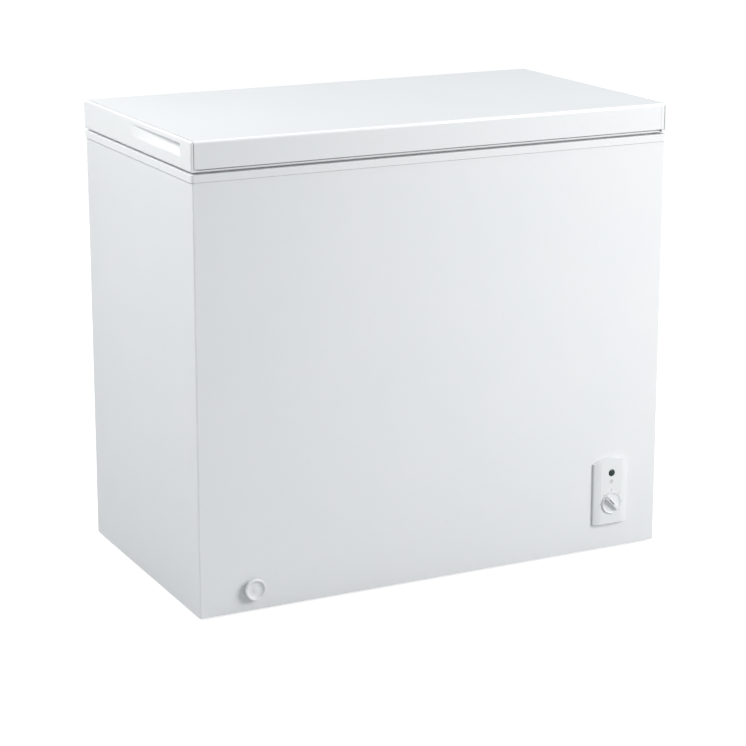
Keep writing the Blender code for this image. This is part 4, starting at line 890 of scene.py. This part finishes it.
# crowned plate: flat middle, a faint fold at each side of it, and an arched top
def makeBezel():
    low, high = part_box("control_bezel")
    middle = (low.x + high.x) / 2
    half = (high.x - low.x) / 2
    sideTop = high.z - bezel["arch"]
    shape = bmesh.new()
    bmesh.ops.create_grid(shape, x_segments=bezel["columns"], y_segments=1, size=0.5)
    for vert in shape.verts:
        across = vert.co.x * 2 * half
        beyond = max(0.0, (abs(across) - bezel["flatHalf"]) / (half - bezel["flatHalf"]))
        drop = bezel["crown"] * (bezel["start"] * beyond + (1 - bezel["start"]) * beyond**2)
        top = sideTop + bezel["arch"] * (1.0 - (across / half) ** 2)
        vert.co = (middle + across, low.y + drop, top if vert.co.y > 0 else low.z)
    border = [edge for edge in shape.edges if edge.is_boundary]
    wallTo(shape, border, 1, high.y)
    bevelEdges(shape, border, bezel["edge"], 4)
    back = [edge for edge in shape.edges if edge.is_boundary]
    bmesh.ops.contextual_create(shape, geom=back)
    bmesh.ops.recalc_face_normals(shape, faces=shape.faces)
    piece = finishPiece(
        "controlPanel", shape, "dial_plastic", "cabinet", "white_plastic", "control_bezel",
        smoothAngle=4.0,
    )
    lamp = middleOf("indicator_lens")
    wide, ahead, deep = bezel["lensHole"], -bezel["holeReach"], bezel["holeDepth"]
    hole = [(0.0, ahead), (wide, ahead), (wide, deep), (0.0, deep)]
    carve(piece, spun(hole, (lamp.x, low.y, lamp.z)))
    piece.data.shade_smooth()
    piece.data.set_sharp_from_angle(angle=math.radians(6.0))


def makeLens():
    low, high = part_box("indicator_lens")
    radius = (high.x - low.x) / 2
    deep = high.y - low.y
    profile = [(0.0, deep), (radius, deep), (radius, lens["side"])]
    for step in range(1, lens["steps"] + 1):
        angle = math.pi / 2 * step / lens["steps"]
        profile.append((radius * math.cos(angle), lens["dome"] * (1.0 - math.sin(angle))))
    shape = spun(profile, ((low.x + high.x) / 2, low.y, (low.z + high.z) / 2))
    finishPiece("indicatorLens", shape, "green_lens", "cabinet", "green_lens", "indicator_lens")


knob = {
    "base": 0.0027, "dish": 0.0018, "rimWidth": 0.0010, "steps": 72,
    "gripHalfWidth": 0.0042, "gripHalfLength": 0.0176, "gripWaist": 0.14, "gripTaper": 0.86,
    "gripShorten": 0.95, "gripRound": 0.0011, "cuts": 12, "fall": 0.0046, "turn": -45.0,
    "lineLength": 0.0170, "lineHalf": 0.00105, "lineDeep": 0.0008, "lineEnd": 0.90,
}


# dished round skirt with a bar grip set across it; the grip falls away from its pointing end, and a
# dark line on its crest points to the setting; the line is drawn bold, partly as painted shade for
# the grip's shaded side
def makeKnob():
    low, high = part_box("thermostat_knob")
    middle = Vector(((low.x + high.x) / 2, 0.0, (low.z + high.z) / 2))
    radius = (high.x - low.x) / 2
    face = high.y - knob["base"]
    floor = face + knob["dish"]
    rim = radius - knob["rimWidth"]
    profile = [
        (0.0, high.y), (radius - 0.0004, high.y), (radius, high.y - 0.0004),
        (radius, face + 0.0005), (radius - 0.0002, face + 0.0001), (radius - 0.0005, face),
        (rim, face + 0.0001), (rim - 0.0004, face + 0.0006), (rim - 0.0016, floor - 0.0004),
        (rim - 0.0040, floor), (0.0, floor + 0.0001),
    ]
    skirt = spun(profile, (middle.x, 0.0, middle.z), knob["steps"])
    halfWidth = knob["gripHalfWidth"]
    halfLength = knob["gripHalfLength"]
    grip = cube((-halfWidth, low.y, -halfLength), (halfWidth, floor + 0.0002, halfLength))
    bmesh.ops.subdivide_edges(grip, edges=runsAlong(grip.edges, 2, 0.01), cuts=knob["cuts"])
    for vert in grip.verts:
        vert.co.x *= 1.0 - knob["gripWaist"] * math.cos(vert.co.z / halfLength * math.pi / 2)
        if near(vert.co.y, low.y):
            vert.co.x *= knob["gripTaper"]
            vert.co.z *= knob["gripShorten"]
    crest = edgesWhere(grip, lambda spot: near(spot.y, low.y))
    rims = [e for e in crest if len([f for f in e.link_faces if f.normal.y < -0.9]) == 1]
    rims += [e for e in runsAlong(grip.edges, 1, 0.005) if abs(e.verts[0].co.z) > halfLength * 0.9]
    bevelEdges(grip, rims, knob["gripRound"], 4)
    lineEnd = halfLength * knob["lineEnd"]
    # dark pointer line, partly real print and partly painted shade: its width stands in for the
    # grip's shaded side
    line = cube(
        (-knob["lineHalf"], low.y + 0.00001, lineEnd - knob["lineLength"]),
        (knob["lineHalf"], low.y + knob["lineDeep"], lineEnd),
    )
    bmesh.ops.subdivide_edges(line, edges=runsAlong(line.edges, 2, 0.01), cuts=knob["cuts"])
    turn = Matrix.Translation(middle) @ Matrix.Rotation(math.radians(knob["turn"]), 4, "Y")
    for shape, proud in ((grip, 0.0001), (line, 0.0)):
        for vert in shape.verts:
            share = 0.5 - vert.co.z / halfLength / 2
            lift = (floor - vert.co.y) / (floor - low.y)
            vert.co.y += knob["fall"] * share**1.5 * max(0.0, lift) + proud
        bmesh.ops.transform(shape, matrix=turn, verts=shape.verts)
        bmesh.ops.recalc_face_normals(shape, faces=shape.faces)
    finishPiece(
        "thermostatKnob", joinShapes(skirt, grip), "white_plastic", "knob", "white_plastic",
        "thermostat_knob",
    )
    finishPiece("knobPointerAndShade", line, "dark_print", "knob", None)


makeBezel()
makeLens()
makeKnob()
print("control panel made")


drainCap = {"steps": 64, "rimWidth": 0.0034, "dish": 0.0040, "disc": 0.0045, "neck": 0.0130}


def makeDrainCap():
    low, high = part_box("drain_cap")
    radius = (high.x - low.x) / 2
    deep = high.y - low.y
    rim = drainCap["rimWidth"]
    dish = drainCap["dish"]
    disc = drainCap["disc"]
    neck = drainCap["neck"]
    profile = [
        (0.0, deep), (neck - 0.0004, deep), (neck, deep - 0.0004), (neck, disc + 0.0022),
        (neck + 0.0004, disc + 0.0012), (neck + 0.0014, disc + 0.0006), (radius - 0.0014, disc),
        (radius - 0.0004, disc - 0.0004), (radius, disc - 0.0010), (radius, 0.0026),
        (radius - 0.0003, 0.0014), (radius - 0.0010, 0.0004), (radius - 0.0020, 0.0),
        (radius - rim, 0.0003), (radius - rim - 0.0010, 0.0010), (radius - rim - 0.0022, 0.0024),
        (radius - rim - 0.0040, dish - 0.0004), (radius - rim - 0.0060, dish),
        (0.0060, dish + 0.0002), (0.0052, dish - 0.0004), (0.0, dish - 0.0006),
    ]
    middle = ((low.x + high.x) / 2, low.y, (low.z + high.z) / 2)
    cap = spun(profile, middle, drainCap["steps"])
    finishPiece("drainCap", cap, "white_plastic", "drain_turner", "white_plastic", "drain_cap")


makeDrainCap()
refined("drain_escutcheon", "drainEscutcheon", 0.0004)
refined("drain_stem", "drainStem", 0.0003)
refined("drain_pipe", "drainPipe")
print("drain made")


# node, piece, and the width and segments of its softened edges
for node, name, soften, segments in (
    ("outer_shell", "outerShell", 0.0, 2), ("collar", "collarFrame", 0.0012, 3),
    ("inner_liner", "innerLiner", 0.0006, 2), ("rear_panel", "rearPanel", 0.0, 2),
    ("base_pan", "basePan", 0.0, 2), ("rear_grille", "rearGrille", 0.0006, 2),
    ("side_vent", "sideVent", 0.0004, 2), ("cord_inlet_bush", "cordBush", 0.0005, 2),
    ("floor_drain_plug", "floorDrainPlug", 0.0005, 2),
):
    refined(node, name, soften, segments)
for side in ("left", "right"):
    refined(f"foam_plug_{side}", f"{side}FoamPlug")
    for end in ("front", "rear"):
        refined(f"foot_{end}_{side}", f"{end}{side.capitalize()}Foot")
print("cabinet made")


hingePlate = {
    "halfWidth": 0.030, "top": 0.775, "drop": 0.004, "thick": 0.0010, "corner": 0.003,
    "gap": 0.0002, "screwOut": 0.0235, "screwIn": 0.010, "leafProud": 0.0028,
    "leafScrewOut": 0.007, "leafScrews": (0.818, 0.834), "softEdge": 0.0002,
}
rearScrews = {"first": 0.06, "pitch": 0.138, "count": 6, "edge": 0.011, "grilleEdge": 0.0070}
screw = {
    "radius": 0.0034, "head": 0.0013, "slotHalf": 0.0004, "slotLength": 0.0020,
    "slotDeep": 0.0008, "firstTurn": 0.4, "nextTurn": 1.1,
}


# a pan head with a cross recess, facing +Y, its seat at the origin
def screwHead():
    radius = screw["radius"]
    head = screw["head"]
    profile = [
        (0.0, 0.0), (radius, 0.0), (radius, head * 0.35), (radius * 0.88, head * 0.75),
        (radius * 0.6, head * 0.96), (0.0, head),
    ]
    blank = addObject("screwHead", meshFrom("screwHead", spun(profile, (0.0, 0.0, 0.0), 20)))
    half = screw["slotHalf"]
    reach = screw["slotLength"]
    deep = head - screw["slotDeep"]
    carve(blank, cube((-half, deep, -reach), (half, head + 0.001, reach)))
    carve(blank, cube((-reach, deep, -half), (reach, head + 0.001, half)))
    result = blank.data
    bpy.data.objects.remove(blank)
    return result


screwMesh = screwHead()


# copies of the screw head, each turned further than the one before
def makeScrews(name, body, places):
    whole = bmesh.new()
    for number, spot in enumerate(places):
        before = len(whole.verts)
        whole.from_mesh(screwMesh)
        whole.verts.ensure_lookup_table()
        fresh = whole.verts[before:]
        turn = Matrix.Rotation(screw["firstTurn"] + number * screw["nextTurn"], 4, "Y")
        bmesh.ops.transform(whole, matrix=Matrix.Translation(spot) @ turn, verts=fresh)
    return finishPiece(name, whole, "zinc", body, "zinc")


def makeHinges():
    for side in ("left", "right"):
        refined(f"hinge_housing_{side}", f"{side}HingeHousing", 0.0004)
        refined(f"hinge_pin_{side}", f"{side}HingePin", 0.0003)
        refined(f"hinge_arm_{side}", f"{side}HingeArm", 0.0003)
        refined(f"hinge_plunger_{side}", f"{side}HingePlunger")
        low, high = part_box(f"hinge_housing_{side}")
        middle = (low.x + high.x) / 2
        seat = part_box("rear_panel")[1].y
        face = seat + hingePlate["thick"]
        top = hingePlate["top"]
        bottom = low.z - hingePlate["drop"]
        plates = []
        for way in (-1, 1):
            close = middle + way * ((high.x - low.x) / 2 + hingePlate["gap"])
            edges = sorted((close, middle + way * hingePlate["halfWidth"]))
            plate = cube((edges[0], seat, bottom), (edges[1], face, top))
            outerEdges = [e for e in runsAlong(plate.edges, 1, 0.0005)
                          if abs(e.verts[0].co.x - middle) > hingePlate["halfWidth"] - 0.001]
            bevelEdges(plate, outerEdges, hingePlate["corner"], 4)
            plates.append(plate)
        flange = finishPiece(f"{side}HingeFlange", joinShapes(*plates), "zinc", "cabinet", "zinc")
        softenEdges(flange, hingePlate["softEdge"])
        low, high = bottom + hingePlate["screwIn"], top - hingePlate["screwIn"]
        makeScrews(f"{side}HingeScrews", "cabinet", [
            (middle + way * hingePlate["screwOut"], face, height)
            for way in (-1, 1) for height in (low, (bottom + top) / 2, high)
        ])
        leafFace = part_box("lid_panel")[1].y + hingePlate["leafProud"]
        makeScrews(f"{side}LeafScrews", "lid", [
            (middle + way * hingePlate["leafScrewOut"], leafFace, height)
            for way in (-1, 1) for height in hingePlate["leafScrews"]
        ])


def makeRearScrews():
    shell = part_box("outer_shell")[1]
    heights = [
        rearScrews["first"] + rearScrews["pitch"] * step for step in range(rearScrews["count"])
    ]
    makeScrews("rearFlangeScrews", "cabinet", [
        (way * (shell.x - rearScrews["edge"]), shell.y, height)
        for way in (-1, 1) for height in heights
    ])
    low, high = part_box("rear_grille")
    edge = rearScrews["grilleEdge"]
    makeScrews("grilleScrews", "cabinet", [
        (x, high.y, z) for x in (low.x + edge, high.x - edge) for z in (low.z + edge, high.z - edge)
    ])


makeHinges()
makeRearScrews()
print("hinges and screws made")


basket = {
    "rimWire": 0.0019, "wire": 0.0013, "corner": 0.014, "lowBend": 0.012, "lowRim": 0.10,
    "alongPitch": 0.0245, "acrossPitch": 0.027, "firstWire": 0.015, "wireIn": 0.002,
    "sideGap": 0.016, "hookHalf": 0.0860, "hookBend": 0.004, "hookMidBend": 0.0012,
}


def roundedLoop(xLow, xHigh, yLow, yHigh, radius, height, steps=6):
    points = []
    for cx, cy, start in (
        (xHigh - radius, yHigh - radius, 0), (xLow + radius, yHigh - radius, 90),
        (xLow + radius, yLow + radius, 180), (xHigh - radius, yLow + radius, 270),
    ):
        for step in range(steps + 1):
            angle = math.radians(start + 90 * step / steps)
            points.append((cx + radius * math.cos(angle), cy + radius * math.sin(angle), height))
    return points


# a wire bent down from the top, along the floor at the flat height and up again
def bentRun(start, end, top, flat, bend, put, steps=5):
    points = [put(start, top)]
    for step in range(steps + 1):
        angle = math.pi / 2 * step / steps
        level = start + bend * (1 - math.cos(angle))
        points.append(put(level, flat + bend * (1 - math.sin(angle))))
    for step in range(steps + 1):
        angle = math.pi / 2 * step / steps
        level = end - bend * (1 - math.sin(angle))
        points.append(put(level, flat + bend * (1 - math.cos(angle))))
    points.append(put(end, top))
    return points


# evenly spaced places for wires between two sides
def wirePlaces(low, high, pitch):
    span = high - low - 2 * basket["firstWire"]
    count = round(span / pitch)
    return [low + basket["firstWire"] + span * number / count for number in range(count + 1)]


def makeBasket():
    low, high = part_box("hanging_basket")
    thick, thin = basket["rimWire"], basket["wire"]
    bend, close = basket["lowBend"], basket["wireIn"]
    xLow, xHigh = low.x + thick, high.x - thick
    yLow, yHigh = low.y + basket["sideGap"] + thick, high.y - basket["sideGap"] - thick
    rimTop = high.z - thick
    floor = low.z + 3 * thin
    rims = tubeAlong("rims", [
        roundedLoop(xLow + gap, xHigh - gap, yLow + gap, yHigh - gap, basket["corner"], height)
        for gap, height in ((0.0, rimTop), (close, low.z + basket["lowRim"]))
    ], thick, closed=True)
    runs = []
    for y in wirePlaces(yLow, yHigh, basket["alongPitch"]):
        runs.append(bentRun(
            xLow + close, xHigh - close, rimTop, floor, bend, lambda level, up: (level, y, up),
        ))
    for x in wirePlaces(xLow, xHigh, basket["acrossPitch"]):
        runs.append(bentRun(
            yLow + close, yHigh - close, rimTop, floor - 2 * thin, bend,
            lambda level, up: (x, level, up),
        ))
    middle = (low.x + high.x) / 2
    half, outer, inner = basket["hookHalf"], basket["hookBend"], basket["hookMidBend"]
    hooks = []
    for end, rim in ((low.y + thick, yLow), (high.y - thick, yHigh)):
        way = 1 if rim > end else -1
        side = [(half, rim), (half, end + way * outer), (half - inner, end + way * inner),
                (half - outer, end)]
        hooks.append([(middle - out, y, rimTop) for out, y in side]
                     + [(middle + out, y, rimTop) for out, y in reversed(side)])
    shape = joinShapes(rims, tubeAlong("wires", runs, thin, 1), tubeAlong("hooks", hooks, thick))
    finishPiece(
        "wireBasket", shape, "coated_wire", "basket", "coated_wire", "hanging_basket",
        smoothAngle=60.0,
    )


makeBasket()
print("basket made")


for node, name in (
    ("compressor_housing", "compressor"), ("compressor_rail", "compressorRail"),
    ("starter_box", "starterBox"), ("filter_drier", "filterDrier"), ("suction_tube", "suctionTube"),
    ("discharge_tube", "dischargeTube"), ("compartment_partition", "compartmentPartition"),
    ("condenser_coil", "condenserCoil"), ("evaporator_coil", "evaporatorCoil"),
    ("thermostat_body", "thermostatBody"), ("thermostat_shaft", "thermostatShaft"),
    ("sensing_tube", "sensingTube"), ("lamp_holder", "lampHolder"),
    ("compressor_grommet_1", "grommetOne"), ("compressor_grommet_2", "grommetTwo"),
    ("compressor_grommet_3", "grommetThree"), ("compressor_grommet_4", "grommetFour"),
):
    refined(node, name)
print("machine compartment made")

for piece in madePieces:
    evenNormals(piece)

# CAD nodes that stay as they are get the same finishes
for node, item in frame["nodes"].items():
    slot = slotOf(node)
    if slot in materials:
        item.material_slots[0].material = materials[slot]
print("carried-over nodes dressed")


stage = {
    "half": 40.0, "colour": (0.50, 0.505, 0.51), "cloudShade": 0.995, "rough": 0.9,
    "specular": 0.1, "lift": 0.80,
}


def makeFloor():
    shape = bmesh.new()
    bmesh.ops.create_grid(shape, x_segments=1, y_segments=1, size=stage["half"])
    mesh = meshFrom("floor", shape)
    material = bpy.data.materials.new("paleFloor")
    material.use_nodes = True
    tree = material.node_tree
    shader = tree.nodes["Principled BSDF"]
    shader.inputs["Roughness"].default_value = stage["rough"]
    shader.inputs["Specular IOR Level"].default_value = stage["specular"]
    cloud = noiseAt(tree, objectPlace(tree), 0.8, 3.0)
    shade = tuple(part * stage["cloudShade"] for part in stage["colour"])
    colour = mixColours(tree, cloud, stage["colour"], shade)
    tree.links.new(colour, shader.inputs["Base Color"])
    sight = place(tree, "ShaderNodeLightPath").outputs["Is Camera Ray"]
    shader.inputs["Emission Color"].default_value = (1.0, 1.0, 1.0, 1.0)
    lift = calculate(tree, "MULTIPLY", sight, stage["lift"])
    tree.links.new(lift, shader.inputs["Emission Strength"])
    mesh.materials.append(material)
    addObject("floor", mesh)


makeFloor()
makeCamera()
makeLights()
print("stage, camera and lights made")

bpy.context.view_layer.update()
